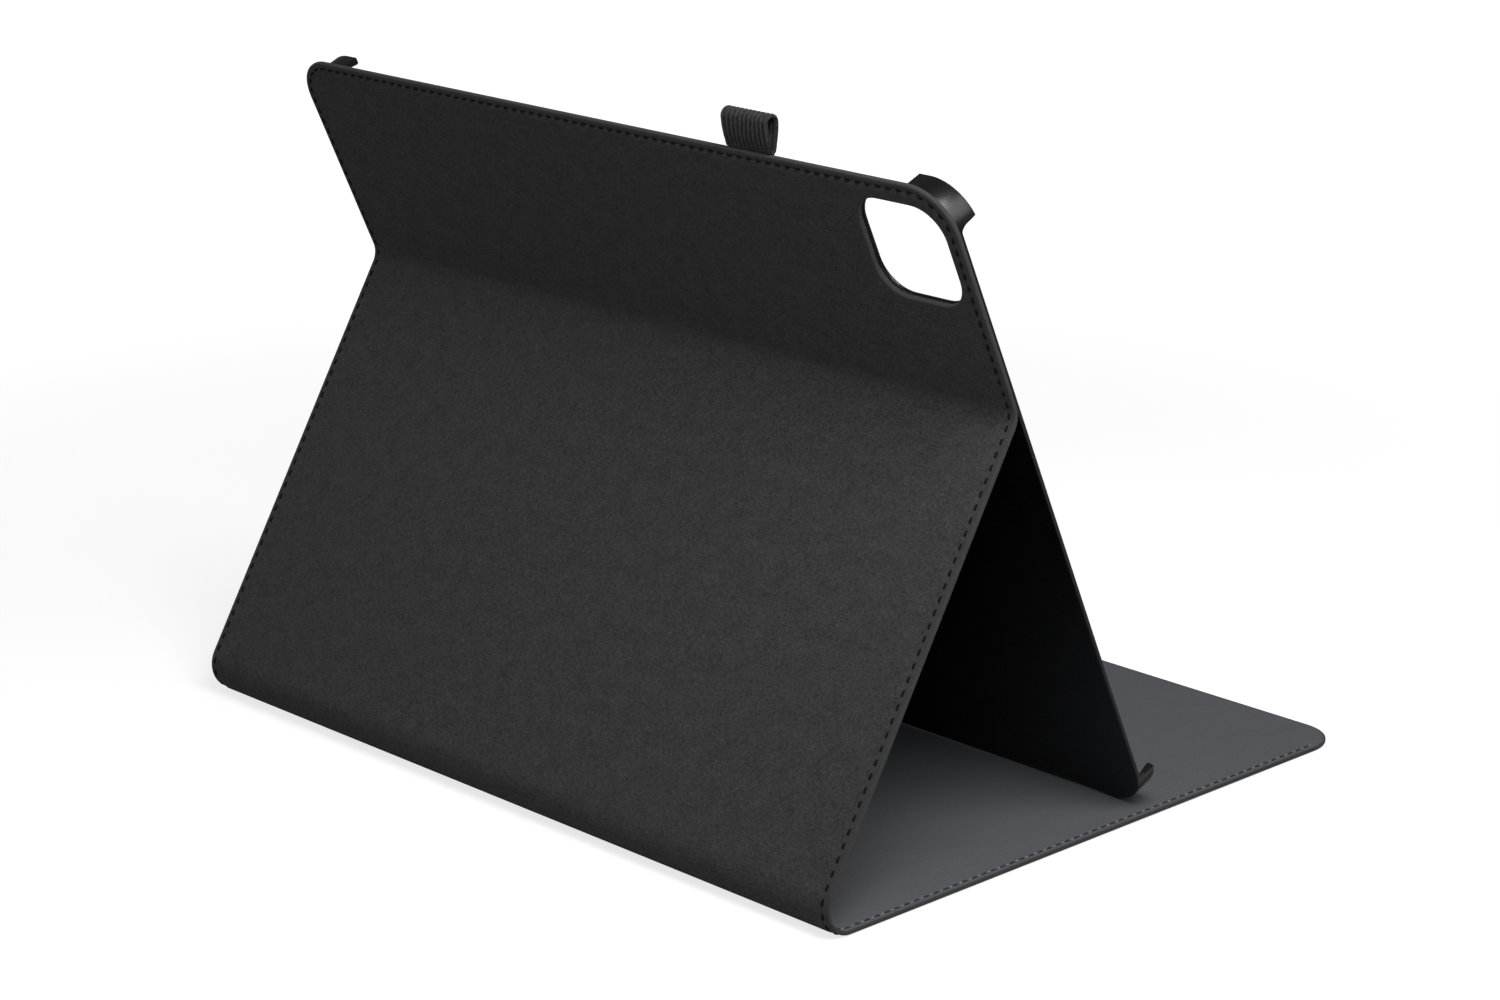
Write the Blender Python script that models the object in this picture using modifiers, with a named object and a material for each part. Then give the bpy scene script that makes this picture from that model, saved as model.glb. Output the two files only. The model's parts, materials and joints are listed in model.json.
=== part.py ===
"""Folding tablet case, modelled standing open on a table.

The cover is one strip that bends at three creases: front panel, spine, strut and upper panel. The upper
panel is bonded to a moulded tray with a hooked clip round each corner. The tray's lower edge stands on the
lining of the front panel, and the strut props it from behind.

Lengths are in metres. +Z is up, +X runs along the creases, and the tray opens towards -Y.
Each body has its own frame on its crease: x along the crease, y along the strip, z towards the lining.
"""

import math

import bmesh
import bpy
from mathutils import Matrix, Vector

MM = 0.001

# Moulded tray, from its pocket outwards
POCKET_WIDTH = 281.0 * MM
POCKET_HEIGHT = 215.3 * MM
POCKET_DEPTH = 6.0 * MM
POCKET_CORNER = 18.2 * MM
TRAY_WALL = 1.2 * MM
TRAY_PLATE = 0.8 * MM
TRAY_EDGE_RISE = 0.5 * MM
TRAY_EDGE_ROUND = 0.5 * MM
LIP_THICKNESS = 0.6 * MM
LIP_REACH = 1.2 * MM
CLIP_ALONG_LONG_EDGE = 17.5 * MM
CLIP_ALONG_SHORT_EDGE = 11.5 * MM

# Window through one top corner of cover and tray, as far from the tray's top as from its side
WINDOW_SIZE = 33.0 * MM
WINDOW_CORNER = 10.0 * MM
WINDOW_MARGIN = 3.5 * MM

# Cover, from outside to inside: skin, stiffening board, lining. On the upper panel an adhesive sheet takes
# the lining's place.
CLEARANCE = 0.3 * MM
SKIN_THICKNESS = 0.5 * MM
BOARD_THICKNESS = 0.6 * MM
LINING_THICKNESS = 0.5 * MM
TURNED_EDGE = 1.2 * MM
COVER_OVERHANG = 1.3 * MM
COVER_TOP_OVERHANG = 3.0 * MM
COVER_CORNER = 14.5 * MM
COVER_EDGE_ROUND = 0.35 * MM
ADHESIVE_MARGIN = 5.0 * MM

# Lengths along the strip, measured between crease axes
FOLD_ABOVE_TRAY_FOOT = 145.8 * MM
SPINE_CREASE_ABOVE_TRAY_FOOT = 2.8 * MM
FRONT_BEYOND_TRAY = 8.3 * MM
SPINE_EASE = 1.7 * MM
CREASE_RADIUS = 1.0 * MM

# Elastic pen loop at the top edge, which leans forward from the tray
LOOP_WIDTH = 18.5 * MM
LOOP_HEIGHT = 11.2 * MM
LOOP_DEPTH = 4.7 * MM
LOOP_BAND = 1.0 * MM
LOOP_FROM_MIDDLE = 66.8 * MM
LOOP_TAB = 16.0 * MM
LOOP_LEAN = math.radians(20.0)

# Closing magnets in the front board
MAGNET_COUNT = 4
MAGNET_DIAMETER = 10.0 * MM
MAGNET_PITCH = 62.0 * MM
MAGNET_FROM_EDGE = 16.0 * MM

# Stand pose: the tray's slope from the table, and the spine's
TRAY_SLOPE = math.radians(66.2)
SPINE_SLOPE = math.radians(90.0)

# Facets: steps in a quarter turn of an outline, sides of a round bar, steps along the loop's side
ARC_STEPS = 8
ROUND_SIDES = 20
LOOP_STEPS = 8
LOOP_LEAST_GAP = 0.25 * MM
CUT_PAST = 2.0 * MM

# Sizes that follow
TRAY_WIDTH = POCKET_WIDTH + 2 * TRAY_WALL
TRAY_HEIGHT = POCKET_HEIGHT + 2 * TRAY_WALL
TRAY_DEPTH = TRAY_PLATE + POCKET_DEPTH + LIP_THICKNESS
TRAY_CORNER = POCKET_CORNER + TRAY_WALL
COVER_WIDTH = TRAY_WIDTH + 2 * COVER_OVERHANG
COVER_THICKNESS = SKIN_THICKNESS + BOARD_THICKNESS + LINING_THICKNESS + 2 * CLEARANCE
COVER_HALF = COVER_THICKNESS / 2
BOARD_LOW = -COVER_HALF + SKIN_THICKNESS + CLEARANCE
BOARD_HIGH = BOARD_LOW + BOARD_THICKNESS
LINING_LOW = BOARD_HIGH + CLEARANCE
PANEL_START = max(COVER_HALF, CREASE_RADIUS) + CLEARANCE
TRAY_TOP = TRAY_HEIGHT - FOLD_ABOVE_TRAY_FOOT
TRAY_FOOT = -FOLD_ABOVE_TRAY_FOOT
FRONT_LENGTH = TRAY_HEIGHT + FRONT_BEYOND_TRAY
TRAY_BACK = COVER_HALF + CLEARANCE
SPINE_LENGTH = TRAY_BACK + TRAY_DEPTH + COVER_HALF + SPINE_EASE
STRUT_LENGTH = FOLD_ABOVE_TRAY_FOOT - SPINE_CREASE_ABOVE_TRAY_FOOT
UPPER_LENGTH = TRAY_TOP + COVER_TOP_OVERHANG
WINDOW_INSET = WINDOW_MARGIN + WINDOW_SIZE / 2
WINDOW_X = -(TRAY_WIDTH / 2 - WINDOW_INSET)
WINDOW_Y = TRAY_TOP - WINDOW_INSET

# The stand closes on the tray's foot: the strut's slope follows from the tray's
FOOT_DROP = FOLD_ABOVE_TRAY_FOOT * math.sin(TRAY_SLOPE) - TRAY_BACK * math.cos(TRAY_SLOPE)
FOLD_HEIGHT = COVER_THICKNESS + CLEARANCE + FOOT_DROP
STRUT_RISE = FOLD_HEIGHT - COVER_HALF - SPINE_LENGTH * math.sin(SPINE_SLOPE)
STRUT_SLOPE = math.pi - math.asin(STRUT_RISE / STRUT_LENGTH)
SPINE_AXIS_Y = (FRONT_LENGTH + COVER_HALF) / 2 - COVER_HALF


class Finish:
    """A plain Principled material: colour in linear RGB, roughness and metallic value."""

    def __init__(self, name, colour, roughness, metallic=0.0):
        self.material = bpy.data.materials.new(name)
        self.material.use_nodes = True
        self.material.diffuse_color = (*colour, 1.0)
        shader = self.material.node_tree.nodes["Principled BSDF"]
        shader.inputs["Base Color"].default_value = (*colour, 1.0)
        shader.inputs["Roughness"].default_value = roughness
        shader.inputs["Metallic"].default_value = metallic


def clear_scene():
    """Removes every object, so that the case stands alone."""
    for thing in list(bpy.data.objects):
        bpy.data.objects.remove(thing, do_unlink=True)


def new_collection(name):
    """A new collection under the scene's own."""
    collection = bpy.data.collections.new(name)
    bpy.context.scene.collection.children.link(collection)
    return collection


def arc(x, y, radius, turn):
    """Points of a quarter turn about (x, y) that starts at turn, or one point where there is no radius."""
    steps = ARC_STEPS if radius > 0 else 0
    angles = [turn + math.pi / 2 * step / ARC_STEPS for step in range(steps + 1)]
    return [(x + radius * math.cos(angle), y + radius * math.sin(angle)) for angle in angles]


def rectangle(width, low, high, low_corner=0.0, high_corner=0.0, middle=0.0):
    """An anticlockwise outline about x = middle, from y = low to high, with round corners at either end."""
    half = width / 2
    points = arc(middle + half - low_corner, low + low_corner, low_corner, -math.pi / 2)
    points += arc(middle + half - high_corner, high - high_corner, high_corner, 0.0)
    points += arc(middle - half + high_corner, high - high_corner, high_corner, math.pi / 2)
    points += arc(middle - half + low_corner, low + low_corner, low_corner, math.pi)
    return points


def square(size, x, y, corner):
    """The outline of a round-cornered square about (x, y)."""
    return rectangle(size, y - size / 2, y + size / 2, corner, corner, x)


def window(margin=0.0):
    """The outline of the window, wider by the margin on every side."""
    return square(WINDOW_SIZE + 2 * margin, WINDOW_X, WINDOW_Y, WINDOW_CORNER + margin)


def circle(diameter, x, y):
    """The outline of a round hole about (x, y)."""
    return square(diameter, x, y, diameter / 2)


def leaning(outline, base):
    """The outline of the loop's side, with what lies above the base turned forward about it by the lean."""
    ahead, rise = math.sin(LOOP_LEAN), math.cos(LOOP_LEAN)
    return [
        (half * rise + (height - base) * ahead, base + (height - base) * rise - half * ahead)
        if height >= base else (half, height)
        for half, height in outline
    ]


def prism(loops, low, high):
    """A closed mesh between two heights, from an outer outline and the outlines of its holes."""
    curve = bpy.data.curves.new("outline", "CURVE")
    curve.dimensions = "2D"
    curve.fill_mode = "BOTH"
    curve.extrude = (high - low) / 2
    for loop in loops:
        spline = curve.splines.new("POLY")
        spline.points.add(len(loop) - 1)
        for point, (x, y) in zip(spline.points, loop):
            point.co = (x, y, 0.0, 1.0)
        spline.use_cyclic_u = True
    guide = bpy.data.objects.new("outline", curve)
    bpy.context.scene.collection.objects.link(guide)
    graph = bpy.context.evaluated_depsgraph_get()
    mesh = bpy.data.meshes.new_from_object(guide.evaluated_get(graph))
    bpy.data.objects.remove(guide, do_unlink=True)
    bpy.data.curves.remove(curve)
    mesh.transform(Matrix.Translation((0.0, 0.0, (low + high) / 2)))
    return welded(mesh)


def welded(mesh):
    """The mesh with its caps joined to its sides and its faces turned outwards."""
    work = bmesh.new()
    work.from_mesh(mesh)
    bmesh.ops.remove_doubles(work, verts=work.verts, dist=0.001 * MM)
    bmesh.ops.recalc_face_normals(work, faces=work.faces)
    work.to_mesh(mesh)
    work.free()
    return mesh


def round_bar(radius, length):
    """A closed bar along x, about the frame's own axis."""
    work = bmesh.new()
    along_x = Matrix.Rotation(math.pi / 2, 4, "Y")
    bmesh.ops.create_cone(
        work, cap_ends=True, segments=ROUND_SIDES, radius1=radius, radius2=radius, depth=length,
        matrix=along_x,
    )
    mesh = bpy.data.meshes.new("round_bar")
    work.to_mesh(mesh)
    work.free()
    mesh.shade_smooth()
    mesh.set_sharp_from_angle(angle=math.radians(40))
    return mesh


class Case:
    """The case: its collections, the frames of its bodies and the pieces on them."""

    def __init__(self):
        self.parts = new_collection("tablet_case")
        self.cutters = new_collection("cutters")
        self.skin = Finish("outer_fabric", (0.021, 0.020, 0.022), 0.85)
        self.board = Finish("grey_board", (0.28, 0.26, 0.23), 0.9)
        self.lining = Finish("lining_fabric", (0.084, 0.087, 0.093), 0.9)
        self.plastic = Finish("tray_plastic", (0.006, 0.006, 0.007), 0.3)
        self.adhesive = Finish("adhesive", (0.6, 0.6, 0.55), 0.5)
        self.elastic = Finish("elastic", (0.016, 0.016, 0.018), 0.9)
        self.steel = Finish("magnet", (0.5, 0.5, 0.52), 0.35, 1.0)
        self.front = self.frame("front_frame", None, (0.0, SPINE_AXIS_Y, COVER_HALF), 0.0)
        self.spine = self.frame("spine_frame", self.front, (0.0, 0.0, 0.0), SPINE_SLOPE)
        self.strut = self.frame(
            "strut_frame", self.spine, (0.0, SPINE_LENGTH, 0.0), STRUT_SLOPE - SPINE_SLOPE
        )
        self.tray = self.frame(
            "tray_frame", self.strut, (0.0, STRUT_LENGTH, 0.0), TRAY_SLOPE - STRUT_SLOPE
        )

    def frame(self, name, parent, place, turn):
        """An empty on a crease axis, turned about x from the frame that carries it."""
        empty = bpy.data.objects.new(name, None)
        empty.parent = parent
        empty.location = place
        empty.rotation_euler = (turn, 0.0, 0.0)
        empty.empty_display_size = 20 * MM
        self.parts.objects.link(empty)
        return empty

    def piece(self, name, mesh, frame, finish, place=(0.0, 0.0, 0.0)):
        """A named part on a body's frame."""
        thing = bpy.data.objects.new(name, mesh)
        mesh.name = name
        mesh.materials.clear()
        mesh.materials.append(finish.material)
        thing.parent = frame
        thing.location = place
        self.parts.objects.link(thing)
        return thing

    def cut(self, thing, mesh, label):
        """Cuts a mesh, given in the same frame as the part, out of that part."""
        cutter = bpy.data.objects.new(f"{thing.name}_{label}", mesh)
        cutter.parent = thing.parent
        cutter.hide_render = True
        cutter.display_type = "WIRE"
        self.cutters.objects.link(cutter)
        boolean = thing.modifiers.new(label, "BOOLEAN")
        boolean.operation = "DIFFERENCE"
        boolean.solver = "EXACT"
        boolean.object = cutter

    def round_edges(self, thing, width):
        """Rounds the outer edges of a part, before any cut is made in it."""
        bevel = thing.modifiers.new("round_edges", "BEVEL")
        bevel.width = width
        bevel.segments = 2
        bevel.limit_method = "ANGLE"
        bevel.angle_limit = math.radians(50)

    def skin_pan(self, name, frame, low, high, low_open, high_open, corners, top=COVER_HALF, frames=()):
        """An outer skin: a flat sheet whose free edges are turned up round the board, as far as the top.

        Low and high are its ends along the strip. An open end meets a crease and isn't turned up. Frames
        are the outlines within which the full thickness stays.
        """
        sheet = rectangle(COVER_WIDTH, low, high, *corners)
        thing = self.piece(name, prism([sheet], -COVER_HALF, top), frame, self.skin)
        self.round_edges(thing, COVER_EDGE_ROUND)
        inner_low = low - CUT_PAST if low_open else low + TURNED_EDGE
        inner_high = high + CUT_PAST if high_open else high - TURNED_EDGE
        inner_corners = [max(corner - TURNED_EDGE, 0.0) for corner in corners]
        pocket = rectangle(COVER_WIDTH - 2 * TURNED_EDGE, inner_low, inner_high, *inner_corners)
        inside = prism([pocket, *frames], -COVER_HALF + SKIN_THICKNESS, top + CUT_PAST)
        self.cut(thing, inside, "pocket")
        return thing

    def layer(self, name, frame, finish, low, high, heights, open_ends, corners, holes=()):
        """A board or lining that lies inside the turned edge of its skin, with a clearance all round."""
        inset = TURNED_EDGE + CLEARANCE
        inner_low = low if open_ends[0] else low + inset
        inner_high = high if open_ends[1] else high - inset
        inner_corners = [max(corner - inset, 0.0) for corner in corners]
        outline = rectangle(COVER_WIDTH - 2 * inset, inner_low, inner_high, *inner_corners)
        return self.piece(name, prism([outline, *holes], *heights), frame, finish)

    def crease(self, name, frame, along):
        """The soft strip at a crease, as a round bar on the crease's axis."""
        bar = round_bar(CREASE_RADIUS, COVER_WIDTH - 2 * TURNED_EDGE)
        self.piece(name, bar, frame, self.skin, (0.0, along, 0.0))

    def panel(self, name, frame, low, high, open_ends, corners, board_holes=()):
        """Skin, board and lining of one panel of the strip."""
        self.skin_pan(f"{name}_skin", frame, low, high, *open_ends, corners)
        board = (BOARD_LOW, BOARD_HIGH)
        lining = (LINING_LOW, COVER_HALF)
        self.layer(f"{name}_board", frame, self.board, low, high, board, open_ends, corners, board_holes)
        self.layer(f"{name}_lining", frame, self.lining, low, high, lining, open_ends, corners)

    def build_front(self):
        """The front panel, which lies on the table, with its closing magnets near the free edge."""
        places = [((index - (MAGNET_COUNT - 1) / 2) * MAGNET_PITCH) for index in range(MAGNET_COUNT)]
        row = -FRONT_LENGTH + MAGNET_FROM_EDGE
        pockets = [circle(MAGNET_DIAMETER + 2 * CLEARANCE, x, row) for x in places]
        self.panel(
            "front", self.front, -FRONT_LENGTH, -PANEL_START, (False, True), (COVER_CORNER, 0.0), pockets
        )
        for index, x in enumerate(places):
            disc = prism([circle(MAGNET_DIAMETER, x, row)], BOARD_LOW, BOARD_HIGH)
            self.piece(f"magnet_{index + 1}", disc, self.front, self.steel)
        self.crease("front_crease", self.front, 0.0)

    def build_spine(self):
        """The spine, as wide as the closed case is thick."""
        self.panel("spine", self.spine, PANEL_START, SPINE_LENGTH - PANEL_START, (True, True), (0.0, 0.0))
        self.crease("spine_crease", self.spine, SPINE_LENGTH)

    def build_strut(self):
        """The strut, which lies on the back of the tray when the case is closed."""
        self.panel("strut", self.strut, PANEL_START, STRUT_LENGTH - PANEL_START, (True, True), (0.0, 0.0))
        self.crease("fold_crease", self.strut, STRUT_LENGTH)

    def build_upper(self):
        """The upper panel, bonded to the tray, with the window in one corner."""
        corners = (0.0, COVER_CORNER)
        skin = self.skin_pan(
            "upper_skin", self.tray, PANEL_START, UPPER_LENGTH, True, False, corners, BOARD_HIGH,
            [window(TURNED_EDGE)],
        )
        self.cut(skin, prism([window()], -COVER_HALF - CUT_PAST, BOARD_HIGH + CUT_PAST), "window")
        self.layer(
            "upper_board", self.tray, self.board, PANEL_START, UPPER_LENGTH, (BOARD_LOW, BOARD_HIGH),
            (True, False), corners, holes=[window(TURNED_EDGE + CLEARANCE)],
        )
        self.build_bond()

    def build_bond(self):
        """The adhesive sheet between upper panel and tray, cut away for the window and for the loop's tab."""
        corner = max(TRAY_CORNER - ADHESIVE_MARGIN, 0.0)
        top = TRAY_TOP - ADHESIVE_MARGIN
        sheet = rectangle(TRAY_WIDTH - 2 * ADHESIVE_MARGIN, ADHESIVE_MARGIN, top, high_corner=corner)
        bond = self.piece("bond_sheet", prism([sheet], LINING_LOW, COVER_HALF), self.tray, self.adhesive)
        slot = rectangle(
            LOOP_WIDTH + 2 * CLEARANCE, UPPER_LENGTH - LOOP_TAB - CLEARANCE, UPPER_LENGTH + CUT_PAST,
            middle=-LOOP_FROM_MIDDLE,
        )
        for label, outline in (("window", window(TURNED_EDGE)), ("loop_slot", slot)):
            self.cut(bond, prism([outline], LINING_LOW - CUT_PAST, COVER_HALF + CUT_PAST), label)

    def build_tray(self):
        """The moulded tray: a plate with a low rim, and a hooked clip round each corner."""
        top = TRAY_BACK + TRAY_DEPTH
        floor = TRAY_BACK + TRAY_PLATE
        block = rectangle(TRAY_WIDTH, TRAY_FOOT, TRAY_TOP, TRAY_CORNER, TRAY_CORNER)
        shell = self.piece("tray_shell", prism([block], TRAY_BACK, top), self.tray, self.plastic)
        self.round_edges(shell, TRAY_EDGE_ROUND)
        self.cut(shell, self.tray_space(TRAY_WALL, floor, top - LIP_THICKNESS), "pocket")
        mouth = self.tray_space(TRAY_WALL + LIP_REACH, floor + POCKET_DEPTH / 2, top + CUT_PAST)
        self.cut(shell, mouth, "mouth")
        rim = floor + TRAY_EDGE_RISE
        wide = rectangle(
            TRAY_WIDTH - 2 * CLIP_ALONG_LONG_EDGE, TRAY_FOOT - CUT_PAST, TRAY_TOP + CUT_PAST
        )
        self.cut(shell, prism([wide], rim, top + CUT_PAST), "long_edges")
        tall = rectangle(
            TRAY_WIDTH + 2 * CUT_PAST, TRAY_FOOT + CLIP_ALONG_SHORT_EDGE, TRAY_TOP - CLIP_ALONG_SHORT_EDGE
        )
        self.cut(shell, prism([tall], rim, top + CUT_PAST), "short_edges")
        self.cut(shell, prism([window()], TRAY_BACK - CUT_PAST, rim + CUT_PAST), "window")

    def tray_space(self, inset, low, high):
        """The space inside the tray's walls, in from its outside by the inset."""
        corner = max(TRAY_CORNER - inset, 0.0)
        outline = rectangle(
            TRAY_WIDTH - 2 * inset, TRAY_FOOT + inset, TRAY_TOP - inset, corner, corner
        )
        return prism([outline], low, high)

    def build_loop(self):
        """The elastic pen loop: a tab held between cover and tray, and a teardrop loop above the edge."""
        base = UPPER_LENGTH + CLEARANCE
        crown = UPPER_LENGTH + LOOP_HEIGHT
        radius = LOOP_DEPTH / 2
        shoulder = crown - radius
        tab_half = LINING_THICKNESS / 2
        rises = [step / LOOP_STEPS for step in range(LOOP_STEPS)]
        side = [
            (tab_half + (radius - tab_half) * rise * rise * (3 - 2 * rise), base + (shoulder - base) * rise)
            for rise in rises
        ]
        foot = UPPER_LENGTH - LOOP_TAB
        right = [(tab_half, foot), *side]
        outer = right + arc(0.0, shoulder, radius, 0.0) + arc(0.0, shoulder, radius, math.pi / 2)[1:]
        outer += [(-half, height) for half, height in reversed(right)]
        gap = [(half - LOOP_BAND, height) for half, height in side if half - LOOP_BAND > LOOP_LEAST_GAP]
        bore = radius - LOOP_BAND
        inner = gap + arc(0.0, shoulder, bore, 0.0) + arc(0.0, shoulder, bore, math.pi / 2)[1:]
        inner += [(-half, height) for half, height in reversed(gap)]
        band = prism([leaning(outer, base), leaning(inner, base)], -LOOP_WIDTH / 2, LOOP_WIDTH / 2)
        stand = Matrix.Rotation(-math.pi / 2, 4, "Y")
        middle = Vector((-LOOP_FROM_MIDDLE, 0.0, LINING_LOW + tab_half))
        band.transform(Matrix.Translation(middle) @ stand)
        band.shade_smooth()
        band.set_sharp_from_angle(angle=math.radians(40))
        self.piece("pen_loop", band, self.tray, self.elastic)

    def build(self):
        """Makes every part, from the table up."""
        self.build_front()
        self.build_spine()
        self.build_strut()
        self.build_upper()
        self.build_tray()
        self.build_loop()


def main():
    """Clears the scene and builds the case."""
    clear_scene()
    Case().build()
    bpy.context.view_layer.update()


if __name__ == "__main__":
    main()
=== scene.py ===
"""Looks of a folding tablet case that stands open on a table.

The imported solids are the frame. The cover, its lining and its sewing are laid out on a flat strip, as they
are cut and sewn, and then bent along the strip's path round the foot and the fold. A point of the flat strip
is (x, s, d): across the strip, along it from the front panel's free edge, and through it towards the lining.
The tray and the pen loop are made in the tray's own frame on the fold: x across, y up the tray and z to its
front. Lengths are in metres.
"""

import json
import logging
import math
from dataclasses import dataclass, field
from enum import Enum

import bpy
import numpy as np
from mathutils import Matrix, Vector
from mathutils.geometry import tessellate_polygon


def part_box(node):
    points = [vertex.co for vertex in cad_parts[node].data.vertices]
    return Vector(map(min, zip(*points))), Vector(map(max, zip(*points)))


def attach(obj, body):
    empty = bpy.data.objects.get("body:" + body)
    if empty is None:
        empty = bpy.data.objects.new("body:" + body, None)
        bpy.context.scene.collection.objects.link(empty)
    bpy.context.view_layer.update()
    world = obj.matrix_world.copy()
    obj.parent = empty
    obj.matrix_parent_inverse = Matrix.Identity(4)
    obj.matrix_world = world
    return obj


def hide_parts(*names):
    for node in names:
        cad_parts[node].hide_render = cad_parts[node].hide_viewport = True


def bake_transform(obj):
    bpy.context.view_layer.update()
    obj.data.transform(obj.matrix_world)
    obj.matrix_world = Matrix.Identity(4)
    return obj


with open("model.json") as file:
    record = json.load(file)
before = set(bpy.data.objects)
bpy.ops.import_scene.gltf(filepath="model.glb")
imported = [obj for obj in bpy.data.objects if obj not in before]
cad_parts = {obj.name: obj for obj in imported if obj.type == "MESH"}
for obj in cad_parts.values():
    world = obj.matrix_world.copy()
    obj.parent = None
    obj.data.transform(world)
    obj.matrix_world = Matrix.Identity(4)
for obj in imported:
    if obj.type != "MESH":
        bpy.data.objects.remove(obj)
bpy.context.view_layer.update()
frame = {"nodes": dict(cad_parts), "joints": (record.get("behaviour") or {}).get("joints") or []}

MM = 0.001
CLOTH_MAP = "cloth"
FROM_EDGE = "from_edge"
CREASE_ANGLE = math.radians(42)
Socket = bpy.types.NodeSocket
Faces = list[tuple[int, ...]]
Section = list[tuple[float, float]]
log = logging.getLogger("case")


class End(Enum):
    """Which end of a panel is a free one, with round corners."""

    NONE = "none"
    LOW = "low"
    HIGH = "high"


def colour(red: int, green: int, blue: int) -> tuple[float, float, float, float]:
    """A colour as a screen shows it, from 0 to 255, as the linear values that a shader takes.

    Args:
        red: Red on the screen.
        green: Green on the screen.
        blue: Blue on the screen.

    Returns:
        Linear red, green and blue, and an alpha of 1.
    """
    shares = [value / 255 for value in (red, green, blue)]
    linear = [((share + 0.055) / 1.055) ** 2.4 if share > 0.04045 else share / 12.92 for share in shares]
    return (*linear, 1.0)


def smooth(value: float | np.ndarray, low: float, high: float) -> float | np.ndarray:
    """A soft step at each value, from 0 at low to 1 at high."""
    share = np.clip((value - low) / (high - low), 0.0, 1.0)
    return share * share * (3 - 2 * share)


def lower_round(radius: float, face: float, steps: int) -> Section:
    """Pairs of inset and depth of a section's round edge, from its lower face to its side."""
    angles = np.linspace(0.0, math.pi / 2, steps + 1)
    return [(radius - radius * math.sin(a), face + radius - radius * math.cos(a)) for a in angles]


def upper_round(radius: float, face: float, steps: int) -> Section:
    """Pairs of inset and depth of a section's round edge, from its side to its upper face."""
    angles = np.linspace(0.0, math.pi / 2, steps + 1)
    return [(radius - radius * math.cos(a), face - radius + radius * math.sin(a)) for a in angles]


def ring_faces(first: int, count: int, rings: int) -> Faces:
    """Quads between closed rings of points that follow one another.

    Args:
        first: Number of the first ring's first point.
        count: Points in a ring.
        rings: Number of rings.

    Returns:
        The faces.
    """
    faces = []
    for here in range(first, first + (rings - 1) * count, count):
        there = here + count
        for index in range(count):
            after = (index + 1) % count
            faces.append((here + index, here + after, there + after, there + index))
    return faces


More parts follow.
